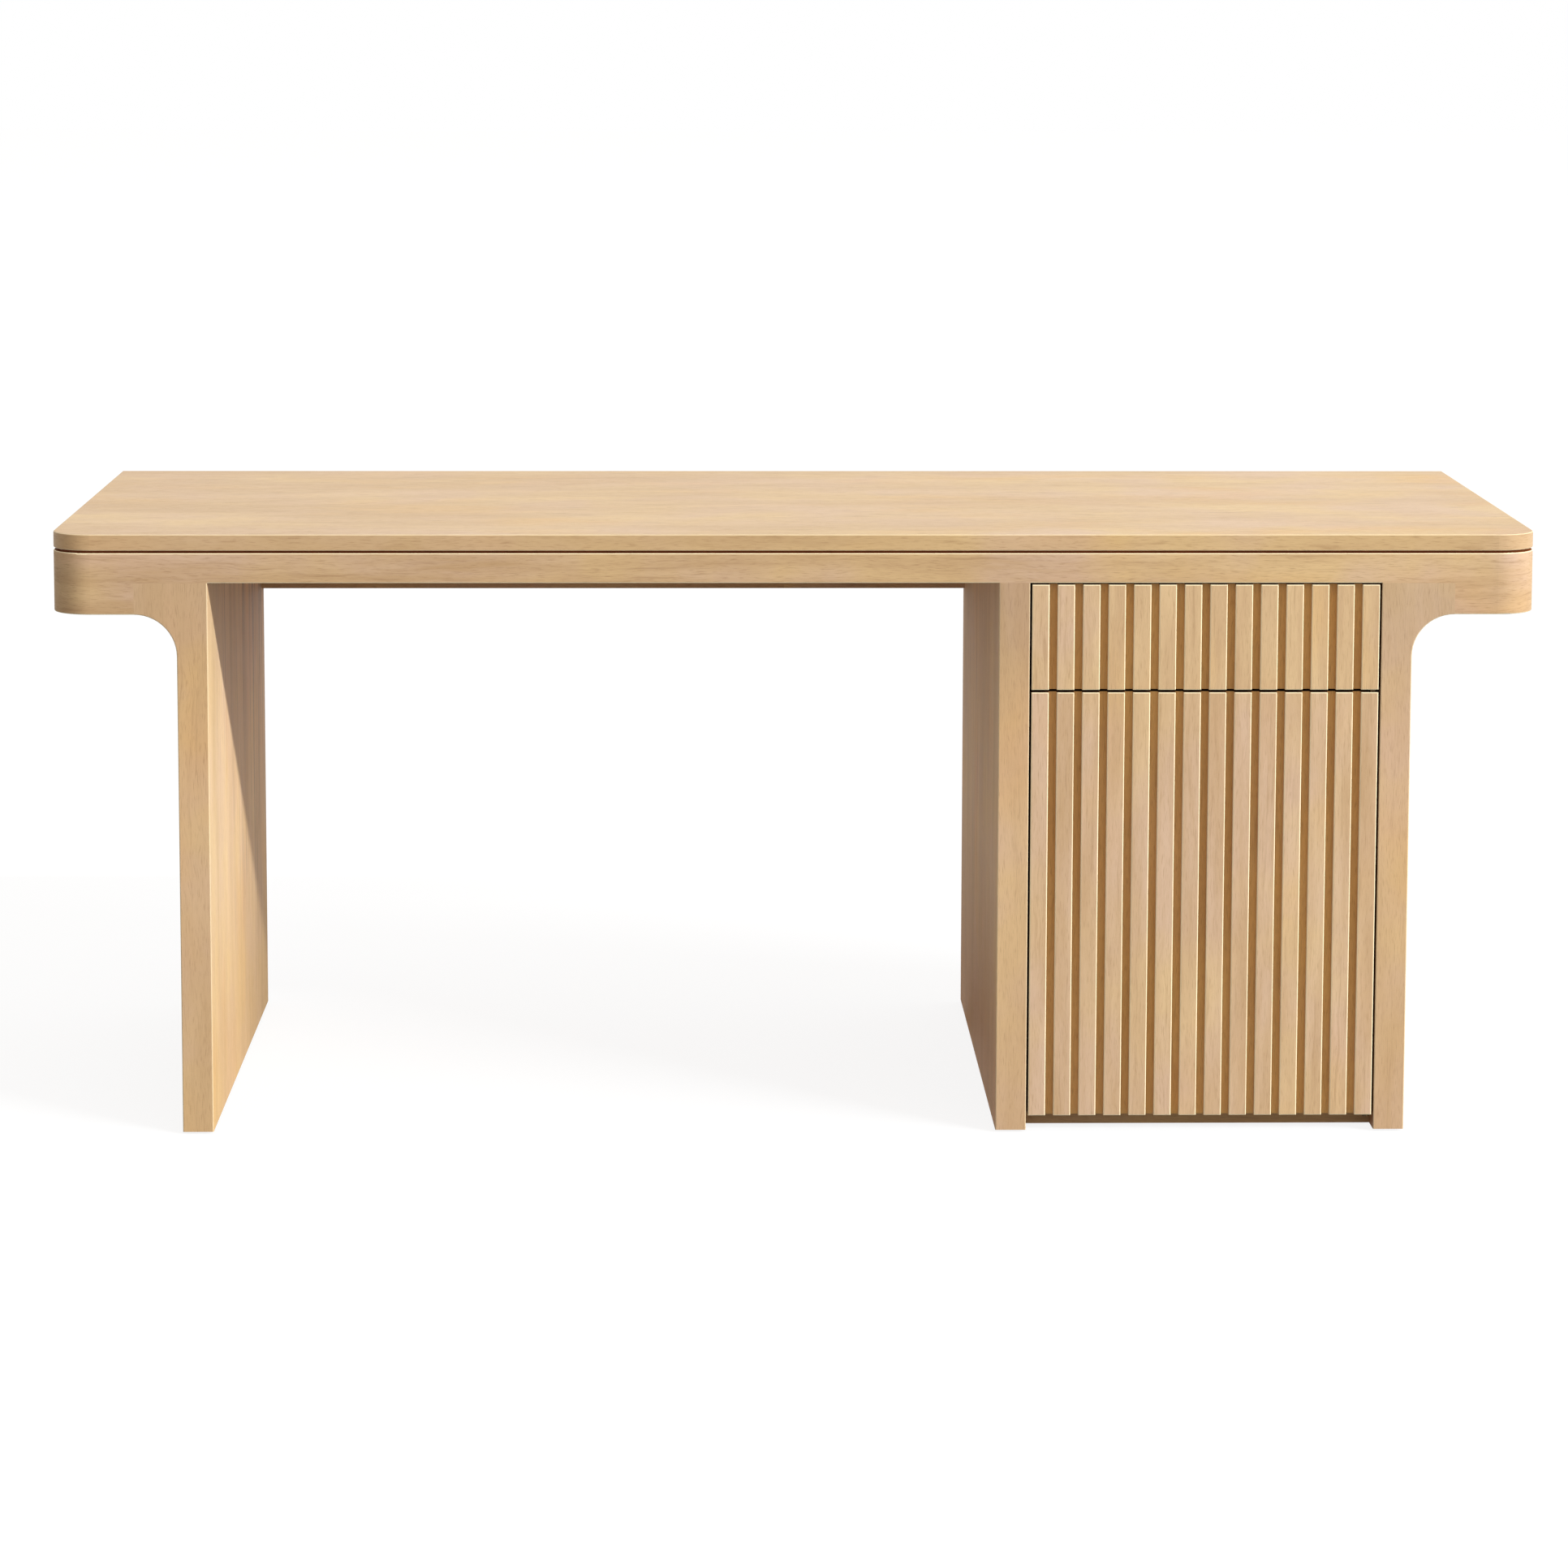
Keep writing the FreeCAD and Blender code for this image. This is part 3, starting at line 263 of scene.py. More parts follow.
def oak(
    name, runs, golden, pinkish, deep, pore,
    gloss=0.64, bands=(340, 30), years=(110, 4, 0.34), open_pores=0.42, edge_highlight=0.6,
    heart=None, own_tone=None, own_tint=None,
):
    """Oak under matt lacquer, from its two clear tones to its bands, pores and painted edge highlights.

    gloss is the lacquer's roughness, bands the length and width of the broad bands, years the length, width
    and darkness of the year lines, open_pores how dark the pores are, and edge_highlight how strong the
    painted highlight on the eased edges is. heart is the colour of veins in an upright's side faces.
    own_tone and own_tint are functions that give a board's lean in tone and a tint to multiply it by;
    besides the board's own tone, these carry some painted light and shade.
    """
    material, tree, shader = new_finish(name, IOR=LACQUER_IOR)
    grain, on_face, eased = grain_frame(tree, runs)
    hue_shift = shade = 0.0
    if own_tone:
        grain, hue_shift, shade = own_tone(tree, grain)
    wavy = wandering(tree, grain)

    place = add(tree, "TexCoord").outputs["Object"]
    cloudy = {"Vector": place, "Scale": 1 / (CLOUD * MM), "Detail": 3.0}
    clouds = add(tree, "TexNoise", cloudy).outputs["Fac"]
    hue = add(tree, "Math", {0: clouds, 1: hue_shift}, operation="ADD").outputs[0]
    pink = add(tree, "MapRange", {0: hue, 1: PINKISH_LEVELS[0], 2: PINKISH_LEVELS[1]}).outputs[0]
    tone = add(tree, "Mix", {0: pink, 6: linear(golden), 7: linear(pinkish)}, data_type="RGBA").outputs[2]

    warm = streaks(tree, wavy, *AMBER_PATCH, Detail=2.0)
    patches = {0: warm, 1: AMBER_LEVELS[0], 2: AMBER_LEVELS[1], 4: AMBER_MOST}
    amber = add(tree, "MapRange", patches).outputs[0]
    warmed = {0: amber, 6: tone, 7: linear(AMBER)}
    tone = add(tree, "Mix", warmed, data_type="RGBA", blend_type="MULTIPLY").outputs[2]

    figure = streaks(tree, wavy, *bands, Detail=6.0, Roughness=0.64)
    dark = add(tree, "Math", {0: figure, 1: shade}, operation="ADD").outputs[0]
    dark = add(tree, "MapRange", {0: dark, 1: BAND_LEVELS[0], 2: BAND_LEVELS[1]}).outputs[0]
    tone = add(tree, "Mix", {0: dark, 6: tone, 7: linear(deep)}, data_type="RGBA").outputs[2]
    if heart:
        tone = veins_and_painted_shade(tree, tone, wavy, on_face, heart)

    length, width, darkness = years
    lines = streaks(tree, wavy, length, width, Detail=3.0)
    year = add(tree, "MapRange", {0: lines, 1: YEAR_LEVELS[0], 2: YEAR_LEVELS[1], 4: darkness}).outputs[0]
    tone = add(tree, "Mix", {0: year, 6: tone, 7: linear(pore)}, data_type="RGBA").outputs[2]

    dashes = streaks(tree, wavy, *PORE, Detail=2.0)
    pores = add(tree, "MapRange", {0: dashes, 1: PORE_LEVELS[0], 2: PORE_LEVELS[1]}).outputs[0]
    pore_tone = add(tree, "Math", {0: pores, 1: open_pores}, operation="MULTIPLY").outputs[0]
    tone = add(tree, "Mix", {0: pore_tone, 6: tone, 7: linear(pore)}, data_type="RGBA").outputs[2]

    if own_tint:
        both = {0: 1.0, 6: tone, 7: own_tint(tree, on_face)}
        tone = add(tree, "Mix", both, data_type="RGBA", blend_type="MULTIPLY").outputs[2]
    # Painted highlight: eased edges are mixed towards the pale colour, as if they caught the light.
    sanded = add(tree, "MapRange", {0: eased, 2: EASED_FULL, 4: edge_highlight}).outputs[0]
    tone = add(tree, "Mix", {0: sanded, 6: tone, 7: linear(EDGE_HIGHLIGHT_PAINT)}, data_type="RGBA").outputs[2]

    tree.links.new(tone, shader.inputs["Base Color"])
    sheen = add(tree, "MapRange", {0: pores, 3: gloss, 4: gloss + PORE_ROUGHER}).outputs[0]
    tree.links.new(sheen, shader.inputs["Roughness"])
    pressed = {"Strength": 0.25, "Distance": PORE_DEPTH, "Height": pores}
    relief = add(tree, "Bump", pressed, invert=True)
    tree.links.new(relief.outputs[0], shader.inputs["Normal"])
    return material


print("pores are drawn", PORE[0], "by", PORE[1], "mm")

# %% [markdown]
# Each board's own tone, and painted light and shade
#
# No two veneers come off the log alike, and a cabinet maker uses that: the heads of the legs are matched to
# the rim, and their side faces warm towards the floor. Other tints are painted light and shade. The rim is
# painted lighter towards the desk's right end, on the lamp's side, and the fronts of the uprights deeper
# than their sides, so the lamp-lit sides stand brighter. The right leg's fully lit outer face is painted
# darker, and what only shows as a sliver in a gap, the rim's upper and under sides and the cupboard's inside
# among it, is painted dark as shade, so that the gaps read as dark lines. All of this could be painted as
# one image for each board. A tint that depends on the place and on the face does it without any image, and
# white stands for no tint.

# %% Tones and tints of the boards
WHITE = linear("ffffff")
# A painted shade for the edges that show only as slivers in the gaps round the fronts.
GAP_SHADE_PAINT = linear("5c4a3a")
# Painted light: the rim and the top turn lighter towards the lamp's side over this reach.
RIM_LIGHTENS = (0.0, 600 * MM)
RIM_SHADES = (0.05, -0.06)
HEAD_TURNS = (420 * MM, 620 * MM)
HEAD_SHADE = 0.08
HEAD_TINTS = (500 * MM, 660 * MM)
FOOT_TINTS = (80 * MM, 320 * MM)
INNER_SIDE = 269 * MM
INNER_SIDE_REACH = 30 * MM
PEDESTAL_MIDDLE = 505 * MM
CUPBOARD_HALF = 217 * MM
RIGHT_LEG_FROM = 500 * MM
HAIR = 0.5 * MM


def rim_tone(tree, grain):
    """The rim and the top are painted a shade lighter from the desk's middle towards its right end, where
    the lamp lights most.
    """
    across = {0: spot_of(tree)["X"], 1: RIM_LIGHTENS[0], 2: RIM_LIGHTENS[1]}
    across.update({3: RIM_SHADES[0], 4: RIM_SHADES[1]})
    return grain, 0.0, add(tree, "MapRange", across).outputs[0]


def upright_tone(tree, grain):
    """The heads of the legs are matched to the rim, a shade darker than their feet."""
    climb = {0: spot_of(tree)["Z"], 1: HEAD_TURNS[0], 2: HEAD_TURNS[1], 4: HEAD_SHADE}
    return grain, 0.0, add(tree, "MapRange", climb).outputs[0]


def band_tint(tree, on_face):
    """The band glued round the top is a shade darker than its face."""
    pair = {0: on_face, 6: linear("f0ebe2"), 7: WHITE}
    return add(tree, "Mix", pair, data_type="RGBA").outputs[2]


def rim_painted_shade(tree, on_face):
    """The rim's upper and under sides, which the shadow line shows a sliver of, are painted darker as shade.
    """
    pair = {0: on_face, 6: WHITE, 7: linear("c98f58")}
    return add(tree, "Mix", pair, data_type="RGBA").outputs[2]


def board_gap_shade(tree, on_face):
    """The edges of the backing boards are painted dark as shade, so that the gaps round the fronts read as
    dark lines.
    """
    return add(tree, "Mix", {0: on_face, 6: GAP_SHADE_PAINT, 7: WHITE}, data_type="RGBA").outputs[2]


def upright_front(tree, spot):
    """Front faces are tinted deeper than side faces, so the lamp-lit sides stand brighter as painted light;
    deepest at the head of the pedestal's inner side.
    """
    head = add(tree, "MapRange", {0: spot["Z"], 1: HEAD_TINTS[0], 2: HEAD_TINTS[1]}).outputs[0]
    near = {0: spot["X"], 1: INNER_SIDE, 2: INNER_SIDE_REACH}
    inner = add(tree, "Math", near, operation="COMPARE").outputs[0]
    pair = {0: inner, 6: linear("d8d5d8"), 7: linear("cac3c2")}
    matched = add(tree, "Mix", pair, data_type="RGBA").outputs[2]
    return add(tree, "Mix", {0: head, 6: linear("ded7d7"), 7: matched}, data_type="RGBA").outputs[2]


def upright_side(tree, spot):
    """Side faces warm towards the foot; the right leg's fully lit outer face and the cupboard's inside are
    painted darker as shade.
    """
    pedestal = add(tree, "Math", {0: spot["X"], 1: 0.0}, operation="GREATER_THAN").outputs[0]
    pair = {0: pedestal, 6: linear("eee4d2"), 7: linear("cfb492")}
    foot = add(tree, "Mix", pair, data_type="RGBA").outputs[2]
    rise = add(tree, "MapRange", {0: spot["Z"], 1: FOOT_TINTS[0], 2: FOOT_TINTS[1]}).outputs[0]
    side = add(tree, "Mix", {0: rise, 6: foot, 7: WHITE}, data_type="RGBA").outputs[2]
    # Painted shade: the right leg's outer face, which the lamp lights fully, is tinted darker.
    far = {0: spot["X"], 1: RIGHT_LEG_FROM}
    right_leg = add(tree, "Math", far, operation="GREATER_THAN").outputs[0]
    side = add(tree, "Mix", {0: right_leg, 6: side, 7: linear("d9cfc8")}, data_type="RGBA").outputs[2]
    # Painted shade: the cupboard's inside faces, seen through the gaps, are darker.
    near = {0: spot["X"], 1: PEDESTAL_MIDDLE, 2: CUPBOARD_HALF + HAIR}
    inside = add(tree, "Math", near, operation="COMPARE").outputs[0]
    return add(tree, "Mix", {0: inside, 6: side, 7: linear("c4a184")}, data_type="RGBA").outputs[2]


def upright_tint(tree, on_face):
    """The tints of an upright's front and side faces together."""
    spot = spot_of(tree)
    pair = {0: on_face, 6: upright_side(tree, spot), 7: upright_front(tree, spot)}
    return add(tree, "Mix", pair, data_type="RGBA").outputs[2]


print("the cupboard is", round(2 * CUPBOARD_HALF / MM), "mm wide inside its sides")

# %% [markdown]
# Oak for each place
#
# The same recipe gives every oak board on the desk. What changes is the palette, from clear wood to pores,
# and how strong each mark is. The top has the smoothest lacquer and the broadest bands, the rim the
# strongest painted highlight along its edges, the uprights a quiet straight grain with veins, and the hidden
# linings a plain veneer painted darker as shade.

# %% Oak finishes
# Smooth and pale, with broad soft bands that the light glides over, painted a shade lighter towards its lit
# right end.
oak_top = oak(
    "lacquered_oak_top", "along", "dabb8b", "d6b795", "c7a67c", "98704a",
    gloss=0.5, bands=(420, 90), years=(55, 8, 0.3), edge_highlight=0.4, own_tone=rim_tone, own_tint=band_tint,
)
# A deeper honey tone, painted lighter towards the right, with a painted highlight along each edge
# and painted shade on its upper and under sides.
oak_rim = oak(
    "lacquered_oak_rim", "along", "d1b080", "caaa8f", "b7946b", "8a6540",
    edge_highlight=0.95, own_tone=rim_tone, own_tint=rim_painted_shade,
)
# Calm upright grain, and purple brown veins with a painted shade cast in the shaded side faces.
oak_upright = oak(
    "lacquered_oak_upright", "up", "efce99", "eac9a3", "d9b685", "8c6540",
    bands=(520, 80), years=(120, 3, 0.16), open_pores=0.28, edge_highlight=0.4, heart="6f4b3f",
    own_tone=upright_tone, own_tint=upright_tint,
)
# A warm brown ground that sets the pale slats off, its edges painted dark as shade in the gaps.
oak_backing = oak(
    "lacquered_oak_backing", "up", "d8ad69", "d3a767", "c39554", "8b6034", own_tint=board_gap_shade
)
# Plain veneer, painted darker than the outside as shade, so the cupboard looks deep.
oak_lining = oak("lacquered_oak_lining", "along", "c29a66", "be9669", "a87e4f", "7e5a34")
# A dark reddish brown painted on the recessed board as shade, deepening the shadow line under the top.
edge_band = oak("shadow_line_painted_shade", "along", "a65a20", "9e541c", "824212", "48240a")
print("oak finishes:", len([oak_top, oak_rim, oak_upright, oak_backing, oak_lining, edge_band]))

# %% [markdown]
# Slats, each from its own stick
#
# The fourteen slats of the drawer and of the door were ripped from different sticks of solid oak, so
# neighbours never quite match in lightness or hue. One material can do that without a copy for each slat.
# The slat's number comes from its place along the desk, and a white noise keyed by that number gives it
# a tone and a sheet of grain of its own. The drawer's slats are more golden than the door's. Sawn ends drink
# more lacquer than sides do and turn darker, and they and the outermost sides are painted darker still, as
# the shade in the gaps round the fronts.

# %% Solid oak slats
SLATS_LEFT = 290.5 * MM
SLAT_PITCH = 31.346 * MM
DRAWER_FOOT = 555.5 * MM
# How far a stick's grain may be moved along, across and between sheets, in metres.
STICK_SHIFT = (2.0, 0.7, 9.0)
STICK_HUE = 0.12
DRAWER_HUE = -0.22
STICK_SHADES = (-0.05, 0.06)
# The outermost sides lie 214.5 mm from the pedestal's middle, and this stops just short of them.
OUTER_SIDES = 213.8 * MM
# Darker end grain, painted darker still as the shade in the gaps above and below the fronts.
END_GRAIN_AND_GAP_SHADE = "7d5f48"
END_TURN = 0.8


def slat_tone(tree, grain):
    """Grain moved to a sheet of its own for each slat, the slat's lean to pinkish, and its shade."""
    spot = spot_of(tree)
    run = add(tree, "Math", {0: spot["X"], 1: SLATS_LEFT}, operation="SUBTRACT").outputs[0]
    count = add(tree, "Math", {0: run, 1: SLAT_PITCH}, operation="DIVIDE").outputs[0]
    number = add(tree, "Math", {0: count}, operation="FLOOR").outputs[0]
    drawer = add(tree, "Math", {0: spot["Z"], 1: DRAWER_FOOT}, operation="GREATER_THAN").outputs[0]
    stick = add(tree, "CombineXYZ", {0: number, 1: drawer}).outputs[0]
    chance = add(tree, "TexWhiteNoise", {"Vector": stick}, noise_dimensions="3D").outputs
    drawn = {0: chance["Color"], 1: STICK_SHIFT}
    sheet = add(tree, "VectorMath", drawn, operation="MULTIPLY").outputs[0]
    moved = add(tree, "VectorMath", {0: grain, 1: sheet}, operation="ADD").outputs[0]
    lean = add(tree, "MapRange", {0: chance["Value"], 4: STICK_HUE}).outputs[0]
    hue = add(tree, "Math", {0: drawer, 1: DRAWER_HUE, 2: lean}, operation="MULTIPLY_ADD").outputs[0]
    luck = add(tree, "SeparateXYZ", {0: chance["Color"]}).outputs["Y"]
    shade = add(tree, "MapRange", {0: luck, 3: STICK_SHADES[0], 4: STICK_SHADES[1]}).outputs[0]
    return moved, hue, shade


def slat_tint(tree, on_face):
    """Sawn ends darker as end grain and darker still as painted shade, and outermost sides painted dark as
    shade.
    """
    facing = add(tree, "SeparateXYZ", {0: add(tree, "TexCoord").outputs["Normal"]}).outputs["Z"]
    lean = add(tree, "Math", {0: facing}, operation="ABSOLUTE").outputs[0]
    sawn = add(tree, "Math", {0: lean, 1: END_TURN}, operation="GREATER_THAN").outputs[0]
    near = {0: spot_of(tree)["X"], 1: PEDESTAL_MIDDLE, 2: OUTER_SIDES}
    within = add(tree, "Math", near, operation="COMPARE").outputs[0]
    side = add(tree, "Mix", {0: within, 6: GAP_SHADE_PAINT, 7: WHITE}, data_type="RGBA").outputs[2]
    side = add(tree, "Mix", {0: sawn, 6: side, 7: linear(END_GRAIN_AND_GAP_SHADE)}, data_type="RGBA").outputs[2]
    return add(tree, "Mix", {0: on_face, 6: side, 7: WHITE}, data_type="RGBA").outputs[2]


# Pale sticks with bright painted highlights along their edges, each a little different from its neighbours.
oak_slat = oak(
    "lacquered_oak_slats", "up", "d6b68a", "d1b194", "bf9c75", "957049",
    open_pores=0.34, edge_highlight=0.85, own_tone=slat_tone, own_tint=slat_tint,
)
print("slats on each front:", sum(name.startswith("door_slat") for name in nodes))

# %% [markdown]
# Birch plywood
#
# The drawer box is clear lacquered birch plywood: pale, fine and almost without figure on its faces, with
# the dark and light plies showing as stripes on every cut edge. Those stripes need no second material. The
# plies are drawn right through the board, and a face simply shows its outermost ply. Birch fibres are finer
# than a hair, so they are drawn 1.6 mm wide, as coarse as they need to show.

# %% Plywood for the drawer box
PLY = 1.5
BIRCH_FIBRE = (60, 1.6)
BIRCH_LEVELS = (0.3, 0.7)
BIRCH_GLOSS = (0.46, 0.6)
CROSS_PLY_DARKER = 0.4


def birch_plywood(name, through, along):
    """Birch plywood whose plies lie across one axis and whose face grain follows another."""
    material, tree, shader = new_finish(name, IOR=LACQUER_IOR)
    place = add(tree, "TexCoord").outputs["Object"]
    level = spot_of(tree)[through]
    plies = add(tree, "Math", {0: level, 1: 1 / (PLY * MM)}, operation="MULTIPLY").outputs[0]
    step = add(tree, "Math", {0: plies, 1: 2.0}, operation="FLOORED_MODULO").outputs[0]
    cross_ply = add(tree, "Math", {0: step, 1: 1.0}, operation="GREATER_THAN").outputs[0]
    length, width = BIRCH_FIBRE
    steps = tuple(1 / ((length if axis == along else width) * MM) for axis in "XYZ")
    pulled = add(tree, "VectorMath", {0: place, 1: steps}, operation="MULTIPLY").outputs[0]
    fibre = add(tree, "TexNoise", {"Vector": pulled, "Scale": 1.0, "Detail": 3.0}).outputs["Fac"]
    light = add(tree, "MapRange", {0: fibre, 1: BIRCH_LEVELS[0], 2: BIRCH_LEVELS[1]}).outputs[0]
    pair = {0: light, 6: linear("d9bf95"), 7: linear("e6d0aa")}
    clear = add(tree, "Mix", pair, data_type="RGBA").outputs[2]
    dark = add(tree, "Math", {0: cross_ply, 1: CROSS_PLY_DARKER}, operation="MULTIPLY").outputs[0]
    tone = add(tree, "Mix", {0: dark, 6: clear, 7: linear("a9825a")}, data_type="RGBA").outputs[2]
    tree.links.new(tone, shader.inputs["Base Color"])
    sheen = add(tree, "MapRange", {0: fibre, 3: BIRCH_GLOSS[0], 4: BIRCH_GLOSS[1]}).outputs[0]
    tree.links.new(sheen, shader.inputs["Roughness"])
    relief = add(tree, "Bump", {"Strength": 0.15, "Distance": 0.1 * MM, "Height": fibre})
    tree.links.new(relief.outputs[0], shader.inputs["Normal"])
    return material


# Creamy and nearly plain, with fine dark stripes along the rims of the drawer box.
ply_sides = birch_plywood("birch_plywood_sides", "X", "Y")
ply_ends = birch_plywood("birch_plywood_ends", "Y", "X")
ply_bottom = birch_plywood("birch_plywood_bottom", "Z", "X")
print("plies in a 12 mm board:", round(12 / PLY))

# %% [markdown]
# Metals
#
# The slides are rolled from steel strip and zinc plated, which leaves a cool grey with a faint grain along
# the roll. The knife hinges are brass, darkened in a bronzing bath and rubbed back to warm metal here and
# there. Both are plain metals to the shader: metallic 1, the default index of refraction, and all of the
# look in the colour and in how rough the surface is.

# %% Zinc plated steel and bronzed brass
def plated_metal(name, dull, bright, blot, roughness, worn):
    """A metal whose colour and gloss wander between two states, in blots of the given sizes in mm."""
    material, tree, shader = new_finish(name, Metallic=1.0)
    place = add(tree, "TexCoord").outputs["Object"]
    sizes = tuple(1 / (size * MM) for size in blot)
    pulled = add(tree, "VectorMath", {0: place, 1: sizes}, operation="MULTIPLY").outputs[0]
    cloud = add(tree, "TexNoise", {"Vector": pulled, "Scale": 1.0, "Detail": 4.0}).outputs["Fac"]
    share = add(tree, "MapRange", {0: cloud, 1: worn[0], 2: worn[1]}).outputs[0]
    tone = add(tree, "Mix", {0: share, 6: linear(dull), 7: linear(bright)}, data_type="RGBA").outputs[2]
    tree.links.new(tone, shader.inputs["Base Color"])
    sheen = add(tree, "MapRange", {0: share, 3: roughness[0], 4: roughness[1]}).outputs[0]
    tree.links.new(sheen, shader.inputs["Roughness"])
    return material


# Cool grey with a fine streak along the slides.
zinc_steel = plated_metal(
    "zinc_plated_steel", "a9adb2", "c8ccd0", blot=(0.8, 30, 0.8), roughness=(0.42, 0.28), worn=(0.35, 0.65)
)
# Brighter, with the mottled glint of tumbled screws.
screw_steel = plated_metal(
    "zinc_plated_screws", "a3a6a8", "cfd2d4", blot=(1.2, 1.2, 1.2), roughness=(0.4, 0.25), worn=(0.35, 0.65)
)
# Dark brown, with warm glints where it is rubbed back.
bronzed_brass = plated_metal(
    "bronzed_brass", "4a3a29", "8a6a3f", blot=(3, 3, 3), roughness=(0.45, 0.32), worn=(0.5, 0.75)
)
print("metals:", zinc_steel.name, screw_steel.name, bronzed_brass.name)

# %% [markdown]
# Moulded plastics
#
# The touch latch is moulded ABS, its plunger a white acetal rod, the floor glides black nylon and the door's
# bumpers clear silicone. Moulds for such parts are spark eroded, which gives the skin a fine even pebble of
# about 0.3 mm, and the gloss changes a little as the plastic flowed. The pebble is drawn at 0.5 mm.

# %% Plastics
PEBBLE = 0.5
FLOW_MARK = 14
GLOSS_SWING = 0.06


def moulded(name, base, flow, roughness, ior, **surface):
    """A moulded plastic with a fine pebbled skin and faint flow marks."""
    material, tree, shader = new_finish(name, IOR=ior, **surface)
    place = add(tree, "TexCoord").outputs["Object"]
    skin = {"Vector": place, "Scale": 1 / (PEBBLE * MM), "Detail": 1.0}
    pebble = add(tree, "TexNoise", skin).outputs["Fac"]
    flowed = {"Vector": place, "Scale": 1 / (FLOW_MARK * MM), "Detail": 2.0}
    marks = add(tree, "TexNoise", flowed).outputs["Fac"]
    tone = add(tree, "Mix", {0: marks, 6: linear(base), 7: linear(flow)}, data_type="RGBA").outputs[2]
    tree.links.new(tone, shader.inputs["Base Color"])
    swing = {0: marks, 3: roughness - GLOSS_SWING, 4: roughness + GLOSS_SWING}
    sheen = add(tree, "MapRange", swing).outputs[0]
    tree.links.new(sheen, shader.inputs["Roughness"])
    relief = add(tree, "Bump", {"Strength": 0.2, "Distance": 0.05 * MM, "Height": pebble})
    tree.links.new(relief.outputs[0], shader.inputs["Normal"])
    return material


# Dull grey, glossier white, near black, and a clear jelly: each takes its gloss from its own mould.
grey_abs = moulded("moulded_grey_abs", "5a5b5d", "646567", roughness=0.5, ior=1.53)
white_acetal = moulded("moulded_white_acetal", "e4e4df", "dcdcd6", roughness=0.35, ior=1.48)
black_nylon = moulded("moulded_black_nylon", "1c1c1d", "232324", roughness=0.55, ior=1.53)
silicone = moulded(
    "moulded_clear_silicone", "f2f2ee", "e9e9e4", roughness=0.3, ior=1.41, Transmission_Weight=0.7
)
print("plastics:", grey_abs.name, white_acetal.name, black_nylon.name, silicone.name)

# %% [markdown]
# Dressing the boards
#
# Each solid carries the name of a material slot. Boards whose grain or finish is another than that of their
# slot's other boards are named one by one, and the rest follow their slot. Finishes could be dropped on the
# solids by hand, but two lists of names still fit when the model is packed again.

# %% Give each solid its finish
by_slot = {
    "oak_veneer": oak_upright,
    "oak_slat": oak_slat,
    "oak_backing": oak_backing,
    "oak_lining": oak_lining,
    "black_edge_band": edge_band,
    "birch_plywood": ply_ends,
    "zinc_plated_steel": zinc_steel,
    "bronzed_brass": bronzed_brass,
    "grey_plastic": grey_abs,
    "white_plastic": white_acetal,
    "black_nylon": black_nylon,
}
by_name = {
    "top_panel": oak_top,
    "front_apron": oak_rim,
    "back_apron": oak_rim,
    "left_end_box": oak_rim,
    "right_end_box": oak_rim,
    "pedestal_back": oak_upright,
    "drawer_side_left": ply_sides,
    "drawer_side_right": ply_sides,
    "drawer_bottom": ply_bottom,
}
for name, node in nodes.items():
    for slot in node.material_slots:
        slot.material = by_name.get(name) or by_slot[slot.material.name]
print("dressed solids:", len(nodes))

# %% [markdown]
# Turned pieces
#
# The small fasteners are all round things seen from above: screw heads, dowel ends, bumpers, a strike disc.
# A cylinder would do from afar, but a lathe is nearly as quick and gives the true section: the profile is a
# list of radii and heights in millimetres, turned about an axis that points out of the board it sits on.

# %% A small lathe
ROUND_STEPS = 24
SHARP_ANGLE = math.radians(35)


def seat_at(place, outward):
    """A frame with its origin at a place in millimetres and its Z axis pointing outward."""
    turn = Vector(outward).to_track_quat("Z", "Y").to_matrix().to_4x4()
    return Matrix.Translation(Vector(place) * MM) @ turn


def turn_profile(mesh, profile, seat):
    """Turns radius and height pairs about the seat's Z axis, and closes the foot; gives the last ring."""
    rings = []
    for radius, height in profile:
        ring = []
        for step in range(ROUND_STEPS):
            angle = 2 * math.pi * step / ROUND_STEPS
            spot = Vector((radius * math.cos(angle), radius * math.sin(angle), height)) * MM
            ring.append(mesh.verts.new(seat @ spot))
        rings.append(ring)
    for lower, upper in zip(rings, rings[1:]):
        for step in range(ROUND_STEPS):
            after = (step + 1) % ROUND_STEPS
            mesh.faces.new((lower[step], lower[after], upper[after], upper[step]))
    mesh.faces.new(reversed(rings[0]))
    return rings[-1]


def add_piece(name, mesh, material, body):
    """Makes an object of a finished mesh, gives it its finish, and sets it riding on its body."""
    bmesh.ops.recalc_face_normals(mesh, faces=mesh.faces)
    for face in mesh.faces:
        face.smooth = True
    data = bpy.data.meshes.new(name)
    mesh.to_mesh(data)
    mesh.free()
    data.set_sharp_from_angle(angle=SHARP_ANGLE)
    data.materials.append(material)
    piece = bpy.data.objects.new(name, data)
    bpy.context.scene.collection.objects.link(piece)
    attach(piece, body)
    print(name, "has", len(data.polygons), "faces and rides on the", body)


# %% [markdown]
# Screws
#
# The slides, the drawer front and the touch latch are held by zinc plated pan head screws. What shows of
# each is a low dome with a cross driven into it. The cross could be cut with a boolean, but an outline of
# twelve corners is simple to fill round and to sink, and leaves a clean closed mesh.

# %% Pan head screws
HEAD_PROFILE = ((3.5, 0.0), (3.5, 0.6), (3.2, 1.2), (2.7, 1.6), (2.2, 1.8))
CROSS_REACH = 1.7
CROSS_HALF = 0.42
CROSS_DEPTH = 1.2
CROSS_TAPER = 0.6


